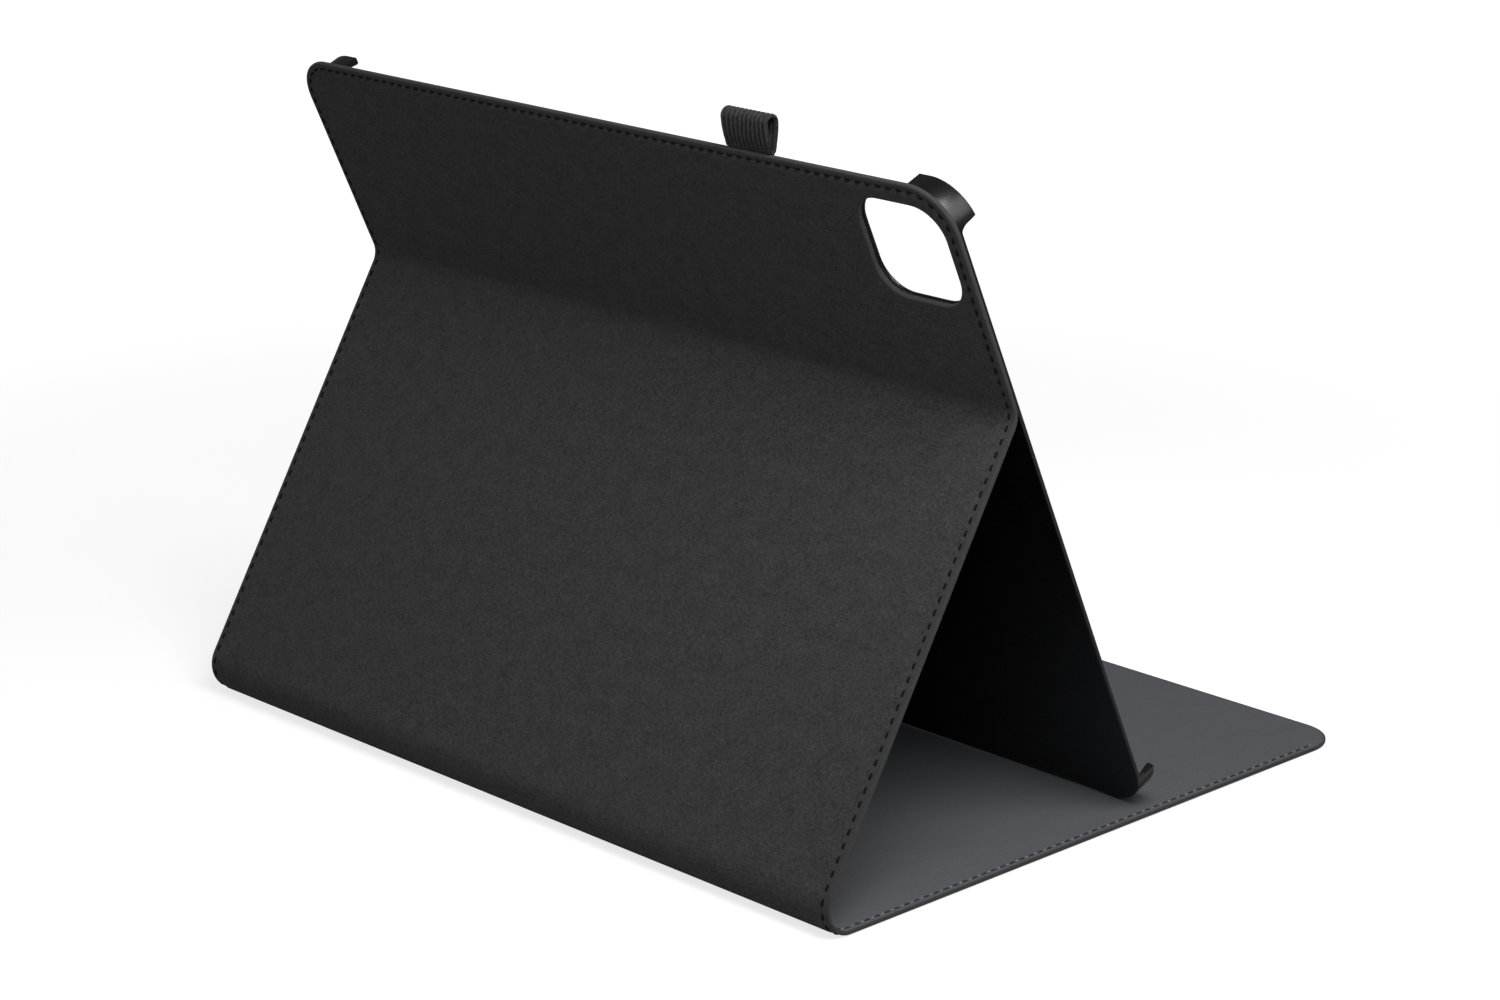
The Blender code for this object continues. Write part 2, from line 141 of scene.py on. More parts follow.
class NodeGraph:
    """One material's node tree, with short ways to add to it."""

    def __init__(self, name: str) -> None:
        """Starts a material with a Principled shader.

        Args:
            name: The material's name.
        """
        self.material = bpy.data.materials.new(name)
        self.material.use_nodes = True
        self.tree = self.material.node_tree
        self.shader = self.tree.nodes["Principled BSDF"]

    def add(self, kind: str, **settings: object) -> bpy.types.Node:
        """Adds a node.

        Args:
            kind: The node's type, without the leading ShaderNode.
            settings: Properties to set on it.

        Returns:
            The node.
        """
        node = self.tree.nodes.new(f"ShaderNode{kind}")
        for key, value in settings.items():
            setattr(node, key, value)
        return node

    def link(self, source: Socket, target: Socket) -> None:
        """Joins an output to an input."""
        self.tree.links.new(source, target)

    def fill(self, socket: Socket, value: object) -> None:
        """Links a socket into another, or sets a plain value on it.

        Args:
            socket: The input.
            value: An output's socket, or a plain value.
        """
        if isinstance(value, Socket):
            self.link(value, socket)
        else:
            socket.default_value = value

    def math(self, operation: str, first: object, second: object = 0.0) -> Socket:
        """A sum on two numbers.

        Args:
            operation: Name of the operation.
            first: A socket or a number.
            second: A socket or a number.

        Returns:
            The result's socket.
        """
        node = self.add("Math", operation=operation)
        self.fill(node.inputs[0], first)
        self.fill(node.inputs[1], second)
        return node.outputs[0]

    def scaled(self, vector: Socket, across: float, along: float) -> Socket:
        """Coordinates of a pattern that repeats about every 1/across by 1/along metres.

        Args:
            vector: Coordinates in metres.
            across: Scale on the first axis.
            along: Scale on the others.

        Returns:
            The scaled coordinates.
        """
        node = self.add("VectorMath", operation="MULTIPLY")
        self.link(vector, node.inputs[0])
        node.inputs[1].default_value = (across, along, along)
        return node.outputs[0]

    def cloth_place(self) -> Socket:
        """Coordinates on the flat cloth, in metres."""
        return self.add("UVMap", uv_map=CLOTH_MAP).outputs["UV"]

    def object_place(self) -> Socket:
        """Coordinates in the object's own frame, in metres."""
        return self.add("TexCoord").outputs["Object"]

    def noise(self, vector: Socket, detail: float = 2.0) -> Socket:
        """Soft noise of unit size on these coordinates.

        Args:
            vector: Scaled coordinates.
            detail: How many finer octaves it has.

        Returns:
            The noise, about 0.5 on the mean.
        """
        node = self.add("TexNoise")
        node.inputs["Scale"].default_value = 1.0
        node.inputs["Detail"].default_value = detail
        self.link(vector, node.inputs["Vector"])
        return node.outputs["Fac"]

    def ramp(self, factor: Socket, *stops: tuple[float, object]) -> Socket:
        """A colour ramp.

        Args:
            factor: What drives it.
            stops: Pairs of place and linear colour.

        Returns:
            The colour's socket.
        """
        node = self.add("ValToRGB")
        elements = node.color_ramp.elements
        while len(elements) < len(stops):
            elements.new(1.0)
        for element, (place, shade) in zip(elements, stops):
            element.position = place
            element.color = shade
        self.link(factor, node.inputs["Fac"])
        return node.outputs["Color"]

    def span(self, value: object, low: float, high: float, start: float, end: float) -> Socket:
        """Maps a number from one span to another, with a soft step.

        Args:
            value: The number's socket.
            low: Start of its own span.
            high: End of its own span.
            start: What low becomes.
            end: What high becomes.

        Returns:
            The mapped number.
        """
        node = self.add("MapRange", interpolation_type="SMOOTHSTEP")
        self.fill(node.inputs["Value"], value)
        for socket, number in zip(("From Min", "From Max", "To Min", "To Max"), (low, high, start, end)):
            node.inputs[socket].default_value = number
        return node.outputs["Result"]

    def mixed(self, factor: object, first: object, second: object) -> Socket:
        """A mix of two colours.

        Args:
            factor: Share of the second.
            first: First colour or its socket.
            second: Second colour or its socket.

        Returns:
            The mixed colour.
        """
        node = self.add("Mix", data_type="RGBA")
        self.fill(node.inputs["Factor"], factor)
        self.fill(node.inputs[6], first)
        self.fill(node.inputs[7], second)
        return node.outputs[2]

    def bump(self, height: Socket, distance: float, strength: float = 1.0) -> None:
        """Presses a height into the shader's normal.

        Args:
            height: The height's socket, from 0 to 1.
            distance: Depth of the relief.
            strength: Share of it that shows.
        """
        node = self.add("Bump")
        node.inputs["Strength"].default_value = strength
        node.inputs["Distance"].default_value = distance
        self.link(height, node.inputs["Height"])
        self.link(node.outputs["Normal"], self.shader.inputs["Normal"])

    def turns(self, place: Socket, period: float) -> tuple[Socket, ...]:
        """Angles that turn once in each period.

        Args:
            place: Coordinates in metres.
            period: Length of a turn.

        Returns:
            The angle across and the angle along.
        """
        node = self.add("SeparateXYZ")
        rate = 2 * math.pi / period
        self.link(self.scaled(place, rate, rate), node.inputs[0])
        return node.outputs["X"], node.outputs["Y"]

    def paint(self, shade: Socket, roughness: Socket) -> None:
        """Gives the shader its colour and its roughness."""
        self.link(shade, self.shader.inputs["Base Color"])
        self.link(roughness, self.shader.inputs["Roughness"])

    def plain(self, **values: object) -> None:
        """Sets plain values on the shader's own sockets, named with underscores for spaces."""
        for name, value in values.items():
            self.shader.inputs[name.replace("_", " ")].default_value = value


@dataclass(frozen=True)
class HeatherCloth:
    """The cover's outer cloth: dark woven heather, with a plainer band along its turned edge."""

    name: str = "outer_fabric"
    dark: tuple = colour(34, 34, 35)
    light: tuple = colour(58, 58, 58)
    fleck: tuple = colour(74, 74, 73)
    band: tuple = colour(49, 49, 49)
    stops: tuple[float, float, float] = (0.38, 0.61, 0.72)
    rough: tuple[float, float] = (0.9, 0.78)
    thread: float = 0.55 * MM
    yarn: tuple[float, float] = (1.9 * MM, 0.6 * MM)
    yarn_share: float = 0.4
    mottle: float = 6.0 * MM
    mottle_share: float = 0.2
    band_edge: tuple[float, float] = (2.4 * MM, 3.2 * MM)
    band_heather: float = 0.25
    weave_share: float = 0.5
    relief: float = 0.12 * MM

    def make(self) -> bpy.types.Material:
        """Draws the cloth's nodes.

        Returns:
            The material.
        """
        graph = NodeGraph(self.name)
        place = graph.cloth_place()
        long, short = self.yarn
        weft = graph.noise(graph.scaled(place, 1 / long, 1 / short))
        warp = graph.noise(graph.scaled(place, 1 / short, 1 / long))
        patch = graph.noise(graph.scaled(place, 1 / self.mottle, 1 / self.mottle), 3.0)
        weft, warp = (graph.math("MULTIPLY", yarn, self.yarn_share) for yarn in (weft, warp))
        yarns = graph.math("ADD", weft, warp)
        tone = graph.math("ADD", yarns, graph.math("MULTIPLY", patch, self.mottle_share))
        heather = graph.ramp(tone, *zip(self.stops, (self.dark, self.light, self.fleck)))
        edge = graph.add("Attribute", attribute_name=FROM_EDGE).outputs["Fac"]
        inside = graph.span(edge, *self.band_edge, self.band_heather, 1.0)
        over, under = (graph.math("SINE", angle) for angle in graph.turns(place, self.thread))
        weave = graph.math("MULTIPLY", graph.math("MULTIPLY", over, under), self.weave_share)
        graph.bump(graph.math("ADD", graph.math("MULTIPLY", weave, inside), tone), self.relief)
        graph.paint(graph.mixed(inside, self.band, heather), graph.span(tone, 0.3, 0.7, *self.rough))
        graph.plain(Sheen_Weight=0.08, Sheen_Roughness=0.5, Specular_IOR_Level=0.25)
        return graph.material


@dataclass(frozen=True)
class LiningCloth:
    """The lining: cool grey microfibre with a short, faintly brushed nap."""

    name: str = "lining_fabric"
    dark: tuple = colour(74, 76, 80)
    light: tuple = colour(82, 84, 88)
    rough: tuple[float, float] = (0.96, 0.86)
    nap: float = 0.8 * MM
    nap_share: float = 0.8
    brushed: float = 9.0 * MM
    brushed_length: float = 2.5
    relief: float = 0.06 * MM

    def make(self) -> bpy.types.Material:
        """Draws the lining's nodes.

        Returns:
            The material.
        """
        graph = NodeGraph(self.name)
        place = graph.cloth_place()
        nap = graph.noise(graph.scaled(place, 1 / self.nap, 1 / self.nap), 4.0)
        brushed = graph.noise(graph.scaled(place, 1 / self.brushed, 1 / (self.brushed_length * self.brushed)))
        fine = graph.math("MULTIPLY", nap, self.nap_share)
        tone = graph.math("ADD", fine, graph.math("MULTIPLY", brushed, 1 - self.nap_share))
        shade = graph.ramp(tone, (0.34, self.dark), (0.66, self.light))
        graph.paint(shade, graph.span(nap, 0.3, 0.7, *self.rough))
        graph.bump(nap, self.relief)
        graph.plain(Sheen_Weight=0.1, Sheen_Roughness=0.4, Specular_IOR_Level=0.2)
        return graph.material


@dataclass(frozen=True)
class MouldedPlastic:
    """The tray's plastic: deep black with an even gloss and a very fine grain."""

    name: str = "tray_plastic"
    dark: tuple = colour(6, 6, 7)
    light: tuple = colour(11, 11, 12)
    rough: tuple[float, float] = (0.27, 0.31)
    grain: float = 0.35 * MM
    cloudy: float = 14.0 * MM
    relief: float = 0.006 * MM

    def make(self) -> bpy.types.Material:
        """Draws the plastic's nodes.

        Returns:
            The material.
        """
        graph = NodeGraph(self.name)
        place = graph.object_place()
        grain = graph.noise(graph.scaled(place, 1 / self.grain, 1 / self.grain))
        cloudy = graph.noise(graph.scaled(place, 1 / self.cloudy, 1 / self.cloudy), 3.0)
        shade = graph.ramp(cloudy, (0.35, self.dark), (0.7, self.light))
        graph.paint(shade, graph.span(grain, 0.35, 0.65, *self.rough))
        graph.bump(grain, self.relief)
        graph.plain(Specular_IOR_Level=0.5)
        return graph.material


@dataclass(frozen=True)
class RibbedElastic:
    """The pen loop's elastic: dark knitted yarn, with painted shade darkening the valleys between its ribs.
    """

    name: str = "elastic"
    dark: tuple = colour(20, 20, 21)
    light: tuple = colour(52, 52, 52)
    stitch: tuple[float, float] = (0.35 * MM, 0.9 * MM)
    rough: tuple[float, float] = (0.95, 0.8)
    rib: float = 1.68 * MM
    painted_valley_shade: float = 0.13
    relief: float = 0.08 * MM

    def make(self) -> bpy.types.Material:
        """Draws the elastic's nodes.

        Returns:
            The material.
        """
        graph = NodeGraph(self.name)
        across, along = self.stitch
        place = graph.cloth_place()
        yarn = graph.noise(graph.scaled(place, 1 / across, 1 / along), 3.0)
        # painted shade: the colour darkens in the valleys between the ribs, on top of the ribbed mesh
        painted_rib_shade = graph.math("COSINE", graph.turns(place, self.rib)[0])
        tone = graph.math("ADD", yarn, graph.math("MULTIPLY", painted_rib_shade, self.painted_valley_shade))
        shade = graph.ramp(tone, (0.3, self.dark), (0.72, self.light))
        graph.paint(shade, graph.span(yarn, 0.3, 0.7, *self.rough))
        graph.bump(yarn, self.relief)
        graph.plain(Sheen_Weight=0.06, Specular_IOR_Level=0.25)
        return graph.material


@dataclass(frozen=True)
class SewingThread:
    """Twisted sewing thread of one shade."""

    name: str
    dark: tuple
    light: tuple
    rough: tuple[float, float] = (0.95, 0.8)
    twist: float = 0.5 * MM
    relief: float = 0.05 * MM

    def make(self) -> bpy.types.Material:
        """Draws the thread's nodes.

        Returns:
            The material.
        """
        graph = NodeGraph(self.name)
        strand = graph.noise(graph.scaled(graph.object_place(), 1 / self.twist, 1 / self.twist))
        shade = graph.ramp(strand, (0.3, self.dark), (0.7, self.light))
        graph.paint(shade, graph.span(strand, 0.3, 0.7, *self.rough))
        graph.bump(strand, self.relief)
        graph.plain(Specular_IOR_Level=0.15)
        return graph.material


@dataclass(frozen=True)
class SpeckledStock:
    """Board, adhesive film or steel: a plain stock with a fine speckle."""

    name: str
    dark: tuple
    light: tuple
    speckle: float
    rough: tuple[float, float]
    metal: float = 0.0
    relief: float = 0.02 * MM

    def make(self) -> bpy.types.Material:
        """Draws the stock's nodes.

        Returns:
            The material.
        """
        graph = NodeGraph(self.name)
        speckle = graph.noise(graph.scaled(graph.object_place(), 1 / self.speckle, 1 / self.speckle), 4.0)
        shade = graph.ramp(speckle, (0.3, self.dark), (0.7, self.light))
        graph.paint(shade, graph.span(speckle, 0.3, 0.7, *self.rough))
        graph.bump(speckle, self.relief)
        graph.plain(Metallic=self.metal)
        return graph.material


HEATHER = HeatherCloth()
LINING = LiningCloth()
PLASTIC = MouldedPlastic()
ELASTIC = RibbedElastic()
# near-black thread: the thread's own dark colour, plus painted shade of the stitch holes it sits in
BLACK_THREAD = SewingThread("black_thread", colour(11, 11, 12), colour(19, 19, 20))
GREY_THREAD = SewingThread("grey_thread", colour(40, 40, 42), colour(58, 58, 61))
PALE_THREAD = SewingThread("pale_thread", colour(108, 109, 111), colour(140, 141, 143))
BOARD = SpeckledStock("grey_board", colour(138, 132, 122), colour(152, 147, 138), 1.2 * MM, (0.95, 0.85))
FILM = SpeckledStock("adhesive", colour(196, 196, 188), colour(210, 210, 203), 4.0 * MM, (0.4, 0.55))
STEEL = SpeckledStock("magnet", colour(178, 178, 182), colour(196, 196, 199), 0.8 * MM, (0.3, 0.42), 1.0)


def new_piece(
    name: str, points: np.ndarray, faces: Faces, finish: bpy.types.Material,
    place: np.ndarray | None = None, from_edge: np.ndarray | None = None,
) -> bpy.types.Object:
    """A mesh object from points in the row frame.

    Args:
        name: The piece's name.
        points: Its vertices.
        faces: Its faces, as vertex numbers.
        finish: Its material.
        place: Each vertex's place on the flat cloth, if it has one.
        from_edge: Each vertex's distance from the cloth's edge, if it has one.

    Returns:
        The object.
    """
    mesh = bpy.data.meshes.new(name)
    mesh.from_pydata(points.tolist(), [], faces)
    mesh.update()
    mesh.shade_smooth()
    mesh.set_sharp_from_angle(angle=CREASE_ANGLE)
    if place is not None:
        layer = mesh.uv_layers.new(name=CLOTH_MAP)
        corners = np.zeros(len(mesh.loops), np.int32)
        mesh.loops.foreach_get("vertex_index", corners)
        layer.uv.foreach_set("vector", place[corners].astype(np.float32).ravel())
    if from_edge is not None:
        attribute = mesh.attributes.new(FROM_EDGE, "FLOAT", "POINT")
        attribute.data.foreach_set("value", from_edge.astype(np.float32))
    mesh.materials.append(finish)
    piece = bpy.data.objects.new(name, mesh)
    bpy.context.scene.collection.objects.link(piece)
    return piece


def hang(piece: bpy.types.Object, body: str, node: str) -> None:
    """Hangs a rigid piece on its body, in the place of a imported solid.

    Args:
        piece: The piece.
        body: The body that it rides on.
        node: The solid that it replaces.
    """
    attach(piece, body)
    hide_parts(node)
    log.info("%s: %d faces", piece.name, len(piece.data.polygons))


@dataclass
class Strip:
    """The path of the strip's middle, seen from the side: front, foot, strut, fold and upper panel."""

    foot_radius: float = 8.6 * MM
    fold_radius: float = 7.0 * MM
    tray_slope: float = math.radians(66.2)
    upper_length: float = 74.9 * MM
    fine_step: float = 0.7 * MM
    coarse_step: float = 9.0 * MM
    fine_reach: float = 10.0 * MM
    width: float = field(init=False)
    half: float = field(init=False)

    def __post_init__(self) -> None:
        """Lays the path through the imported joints."""
        low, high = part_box("front_skin")
        self.width = high.x - low.x
        self.half = (high.z - low.z) / 2
        joints = {joint["name"]: Vector(joint["pos_m"]) for joint in frame["joints"]}
        self.fold = joints["tray_fold"]
        level = joints["cover_hinge"].z
        rise = self.fold - joints["stand_hinge"]
        self.strut_slope = math.atan2(rise.z, rise.y)
        corner_to_fold = (self.fold.z - level) / math.sin(self.strut_slope)
        corner_y = self.fold.y - corner_to_fold * math.cos(self.strut_slope)
        foot_turn = self.strut_slope
        fold_turn = self.tray_slope - self.strut_slope
        foot_reach = self.foot_radius * math.tan(foot_turn / 2)
        self.fold_reach = self.fold_radius * math.tan(-fold_turn / 2)
        lengths = [
            corner_y - foot_reach - low.y,
            self.foot_radius * foot_turn,
            corner_to_fold - foot_reach - self.fold_reach,
            self.fold_radius * -fold_turn,
            self.upper_length - self.fold_reach,
        ]
        self.curves = [0.0, 1 / self.foot_radius, 0.0, -1 / self.fold_radius, 0.0]
        self.marks = np.concatenate([[0.0], np.cumsum(lengths)])
        self.foot_start, self.foot_end, self.fold_start, self.fold_end, self.top = self.marks[1:]
        self.starts = [(low.y, level, 0.0)]
        for length, curve in zip(lengths, self.curves):
            self.starts.append(self.step(self.starts[-1], curve, length))

    @staticmethod
    def step(start: tuple[float, float, float], curve: float, along: np.ndarray) -> tuple:
        """Where a stretch of constant bend leads.

        Args:
            start: Y, Z and slope at its start.
            curve: Turn per metre.
            along: Distance from its start.

        Returns:
            Y, Z and slope there.
        """
        y, z, slope = start
        if not curve:
            return y + along * math.cos(slope), z + along * math.sin(slope), slope + 0 * along
        turned = slope + curve * along
        ahead = (np.sin(turned) - math.sin(slope)) / curve
        rise = (math.cos(slope) - np.cos(turned)) / curve
        return y + ahead, z + rise, turned

    def bend(self, flat: np.ndarray) -> np.ndarray:
        """Takes points of the flat strip to their place in the row frame.

        Args:
            flat: Rows of x, s and d.

        Returns:
            Rows of X, Y and Z.
        """
        along = flat[:, 1]
        stretch = np.clip(np.searchsorted(self.marks, along, side="right") - 1, 0, len(self.curves) - 1)
        made = np.zeros_like(flat)
        for index, curve in enumerate(self.curves):
            here = stretch == index
            y, z, slope = self.step(self.starts[index], curve, along[here] - self.marks[index])
            depth = flat[here, 2]
            made[here] = np.stack([flat[here, 0], y - depth * np.sin(slope), z + depth * np.cos(slope)], 1)
        return made

    def point(self, along: float, depth: float = 0.0) -> tuple[float, float, float]:
        """The row-frame point on the strip's middle line at this distance and depth."""
        return tuple(self.bend(np.array([[0.0, along, depth]]))[0])

    def rows(self, low: float, high: float) -> np.ndarray:
        """Where the strip's cross rows lie, close together at the bends.

        Args:
            low: First row.
            high: Last row.

        Returns:
            Distances along the strip.
        """
        places = [np.linspace(low, high, max(2, round((high - low) / self.coarse_step) + 1))]
        for start, end in ((self.foot_start, self.foot_end), (self.fold_start, self.fold_end)):
            near = np.array([start - self.fine_reach, end + self.fine_reach]).clip(low, high)
            if near[1] > near[0]:
                places.append(np.linspace(*near, max(2, round((near[1] - near[0]) / self.fine_step) + 1)))
        rows = np.unique(np.round(np.concatenate(places), 7))
        kept = [rows[0]]
        for row in rows[1:-1]:
            if row - kept[-1] > self.fine_step / 2 and rows[-1] - row > self.fine_step / 2:
                kept.append(row)
        return np.array([*kept, rows[-1]])

    def tray_point(self, local: np.ndarray) -> np.ndarray:
        """Takes points of the tray's own frame to the row frame.

        Args:
            local: Rows of x, y and z on the tray.

        Returns:
            Rows of X, Y and Z.
        """
        up = np.array([0.0, math.cos(self.tray_slope), math.sin(self.tray_slope)])
        out = np.array([0.0, -math.sin(self.tray_slope), math.cos(self.tray_slope)])
        across = np.array([1.0, 0.0, 0.0])
        return np.array(self.fold) + local[:, :1] * across + local[:, 1:2] * up + local[:, 2:] * out

    def on_upper(self, height: float) -> float:
        """How far along the strip a height above the fold lies, on the upper panel."""
        return self.fold_end + height - self.fold_reach


@dataclass
class Window:
    """The round-cornered window through the upper panel and the tray."""

    size: float = 33.0 * MM
    corner: float = 10.0 * MM
    x: float = -121.7 * MM
    height: float = 51.9 * MM
    steps: int = 10

    def outline(self, outset: float) -> np.ndarray:
        """The window's outline about its own middle, moved outwards.

        Args:
            outset: How far outwards.

        Returns:
            Rows of x and y, anticlockwise.
        """
        reach = self.size / 2 - self.corner
        radius = self.corner + outset
        points = []
        for turn, (side, up) in enumerate(((1, 1), (-1, 1), (-1, -1), (1, -1))):
            for step in range(self.steps + 1):
                angle = math.pi / 2 * (turn + step / self.steps)
                x, y = radius * math.cos(angle), radius * math.sin(angle)
                points.append((side * reach + x, up * reach + y))
        return np.array(points)

    def rings(self, section: Section, middle: np.ndarray) -> np.ndarray:
        """The rings of points that a rim's cross-section makes round the window.

        Args:
            section: Pairs of outset and depth.
            middle: The window's middle.

        Returns:
            Rows of x, y and depth, one ring after the other.
        """
        rings = [(self.outline(outset) + middle, depth) for outset, depth in section]
        return np.concatenate([np.column_stack([ring, np.full(len(ring), depth)]) for ring, depth in rings])


@dataclass
class Panel:
    """A stretch of the strip as a closed mesh: a cross-section run along both edges and round a free end.

    The section runs from the outer face's inner border, round the edge, to the inner face's border.
    """

    strip: Strip
    section: Section
    low: float
    high: float
    end: End = End.NONE
    corner: float = 14.5 * MM
    least_corner: float = 0.8 * MM
    corner_join: float = 1.0 * MM
    end_stretch: float = 1.0
    corner_steps: int = 14
    flat_from: float | None = None
    window: Window | None = None
    window_section: Section = field(default_factory=list)

    def path(self, inset: float) -> np.ndarray:
        """The edge's path in the flat strip, moved inwards: down one side, round the end and back.

        Args:
            inset: How far in from the edge.

        Returns:
            Rows of x and s.
        """
        side = self.strip.width / 2 - inset
        if self.end is End.NONE:
            right = [(side, row) for row in self.straight]
            return np.array(right + [(-x, row) for x, row in reversed(right)])
        sign, tip = (-1, self.low) if self.end is End.LOW else (1, self.high)
        right = [(side, row) for row in self.straight[::sign]]
        end_inset = inset * self.end_stretch
        across = max(self.corner - inset, self.least_corner)
        along = max(self.corner - end_inset, self.least_corner)
        for angle in np.linspace(0.0, math.pi / 2, self.corner_steps + 1):
            from_tip = end_inset + along * (1 - math.sin(angle))
            right.append((side - across * (1 - math.cos(angle)), tip - sign * from_tip))
        return np.array(right + [(-x, row) for x, row in reversed(right)])

    def corner_span(self) -> float:
        """How far from the free end's tip the straight rows stop, clear of every ring's corner."""
        widest = max(inset for inset, _ in self.section) * self.end_stretch
        return max(self.corner, widest + self.least_corner) + self.corner_join

    def build(self) -> tuple[np.ndarray, Faces, np.ndarray, np.ndarray]:
        """Makes the mesh on the flat strip.

        Returns:
            Points as x, s and d, faces, places on the cloth, and distances from the edge.
        """
        low, high = self.low, self.high
        if self.end is End.LOW:
            low += self.corner_span()
        elif self.end is End.HIGH:
            high -= self.corner_span()
        self.straight = self.strip.rows(low, high)
        section = np.array(self.section)
        travelled = np.concatenate([[0.0], np.cumsum(np.linalg.norm(np.diff(section, axis=0), axis=1))])
        points, places, edges = [], [], []
        for (inset, depth), distance in zip(section, travelled):
            ring = self.path(inset)
            points.append(np.column_stack([ring, np.full(len(ring), depth)]))
            places.append(self.path(section[0, 0] - distance))
            edges.append(np.full(len(ring), inset))
        count = len(points[0])
        faces = self.side_faces(count, len(section))
        faces += self.cap_faces(count, len(section))
        made = [np.concatenate(points), np.concatenate(places), np.concatenate(edges)]
        if self.window:
            made = self.add_window(made, faces, count, len(section))
        else:
            for ring, outward in ((0, True), (len(section) - 1, False)):
                faces += self.fill_faces(count, ring, outward)
        return made[0], faces, made[1], made[2]

    def side_faces(self, count: int, rings: int) -> Faces:
        """Quads between one ring of the section and the next.

        Args:
            count: Points in a ring.
            rings: Number of rings.

        Returns:
            The faces.
        """
        turn = 1 if self.end is End.LOW else -1
        faces = []
        for ring in range(rings - 1):
            for index in range(count - 1):
                if self.end is End.NONE and index == count // 2 - 1:
                    continue
                first, second = ring * count + index, (ring + 1) * count + index
                faces.append((first, first + 1, second + 1, second)[::turn])
        return faces

    def fill_faces(self, count: int, ring: int, outward: bool) -> Faces:
        """Rows of quads across the strip from one side's ring to the other's, and one face at the free end.

        Args:
            count: Points in a ring.
            ring: Which ring is filled.
            outward: Whether it is the outer face.

        Returns:
            The faces.
        """
        start = ring * count
        turn = 1 if outward == (self.end is End.LOW) else -1
        last = len(self.straight) - 1
        flat = last
        if self.flat_from is not None:
            order = self.straight[::-1] if self.end is End.LOW else self.straight
            flat = int(np.argmin(np.abs(order - self.flat_from)))
        faces = []
        for row in range(flat if self.end is not End.NONE else last):
            right, left = start + row, start + count - 1 - row
            faces.append((left, left - 1, right + 1, right)[::turn])
        if self.end is not End.NONE:
            faces.append(tuple(range(start + flat, start + count - flat))[::-turn])
        return faces

    def cap_faces(self, count: int, rings: int) -> Faces:
        """Closes the ends where this stretch meets the next one.

        Args:
            count: Points in a ring.
            rings: Number of rings.

        Returns:
            The faces.
        """
        ends = [(0, 1 if self.end is End.LOW else -1)]
        if self.end is End.NONE:
            ends.append((count // 2 - 1, 1))
        faces = []
        for index, turn in ends:
            other = count - 1 - index
            right = [ring * count + index for ring in range(rings)]
            left = [ring * count + other for ring in range(rings)]
            faces.append(tuple(right)[::turn])
            faces.append(tuple(left)[::-turn])
            faces.append((left[0], right[0], right[-1], left[-1])[::turn])
        return faces

    def add_window(self, made: list[np.ndarray], faces: list, count: int, rings: int) -> list[np.ndarray]:
        """Cuts the window through the flat end and rounds its rim.

        Args:
            made: Points, places and edges so far.
            faces: Faces so far, which it adds to.
            count: Points in a ring.
            rings: Number of rings.

        Returns:
            Points, places and edges with the window's.
        """
        middle = np.array([self.window.x, self.strip.on_upper(self.window.height)])
        first = len(made[0])
        rim = self.window.rings(self.window_section, middle)
        hole = len(rim) // len(self.window_section)
        edges = np.where(np.arange(len(rim)) < hole, self.section[0][0], 0.0)
        made = [np.concatenate(pair) for pair in zip(made, (rim, rim[:, :2], edges))]
        faces += ring_faces(first, hole, len(self.window_section))
        last = first + len(rim) - hole
        for ring, start, outward in ((0, first, True), (rings - 1, last, False)):
            rows = self.fill_faces(count, ring, outward)
            faces += rows[:-1]
            loops = [list(rows[-1]), list(range(start, start + hole))]
            faces += filled(made[0], loops, -1.0 if outward else 1.0)
        return made


def filled(points: np.ndarray, loops: list[list[int]], facing: float) -> Faces:
    """Triangles that fill a flat outline with holes.

    Args:
        points: All points, flat in their first two columns.
        loops: The outline's vertex numbers, then those of its holes.
        facing: 1 where the faces look along +d, -1 where they look along -d.

    Returns:
        The faces.
    """
    numbers = [number for loop in loops for number in loop]
    corners = [[Vector((*points[number, :2], 0.0)) for number in loop] for loop in loops]
    faces = []
    for triangle in tessellate_polygon(corners):
        a, b, c = (numbers[index] for index in triangle)
        first, second = points[b, :2] - points[a, :2], points[c, :2] - points[a, :2]
        ahead = first[0] * second[1] - first[1] * second[0]
        faces.append((a, b, c) if ahead * facing > 0 else (a, c, b))
    return faces


@dataclass
class Bends:
    """Where the strip's stretches part, and the spans between the bodies that they join."""

    strip: Strip
    spine_share: float = 0.743
    spine_hold: float = 0.09
    strut_reach: float = 7.0 * MM
    fold_reach: float = 4.0 * MM

    def __post_init__(self) -> None:
        """Works out the seams and the spans that bend."""
        strip = self.strip
        foot = strip.foot_end - strip.foot_start
        self.spine_seam = strip.foot_start + self.spine_share * foot
        self.strut_seam = (strip.foot_end + strip.fold_start) / 2
        hold = self.spine_hold * foot
        self.spans = {
            ("front", "spine"): (strip.foot_start, self.spine_seam - hold),
            ("spine", "strut"): (self.spine_seam + hold / 2, strip.foot_end + self.strut_reach),
            ("strut", "tray"): (strip.fold_start - self.fold_reach, strip.fold_end + self.fold_reach),
        }

    def blend(self, piece: bpy.types.Object, bodies: tuple[str, str]) -> None:
        """Bakes a piece's placement into its mesh; it works out the points at both ends of the span between
        the two bodies but does not use them.
        """
        start, end = self.spans[bodies]
        self.strip.point(start)
        self.strip.point(end)
        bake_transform(piece)

    def lay(
        self, piece: bpy.types.Object, bodies: tuple[str, str], nodes: tuple[str, ...], slot: str,
        flat: tuple[float, float], held: str,
    ) -> None:
        """Bakes a stretch of cloth's placement into its mesh and hides the solids that it replaces.

        Args:
            piece: The stretch, whose mesh is final.
            bodies: The two bodies, in order along the strip.
            nodes: The solids that it replaces, the one that it rests on first.
            slot: Not used.
            flat: Not used.
            held: Not used.
        """
        self.blend(piece, bodies)
        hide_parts(*nodes)
        log.info("%s: %d faces", piece.name, len(piece.data.polygons))


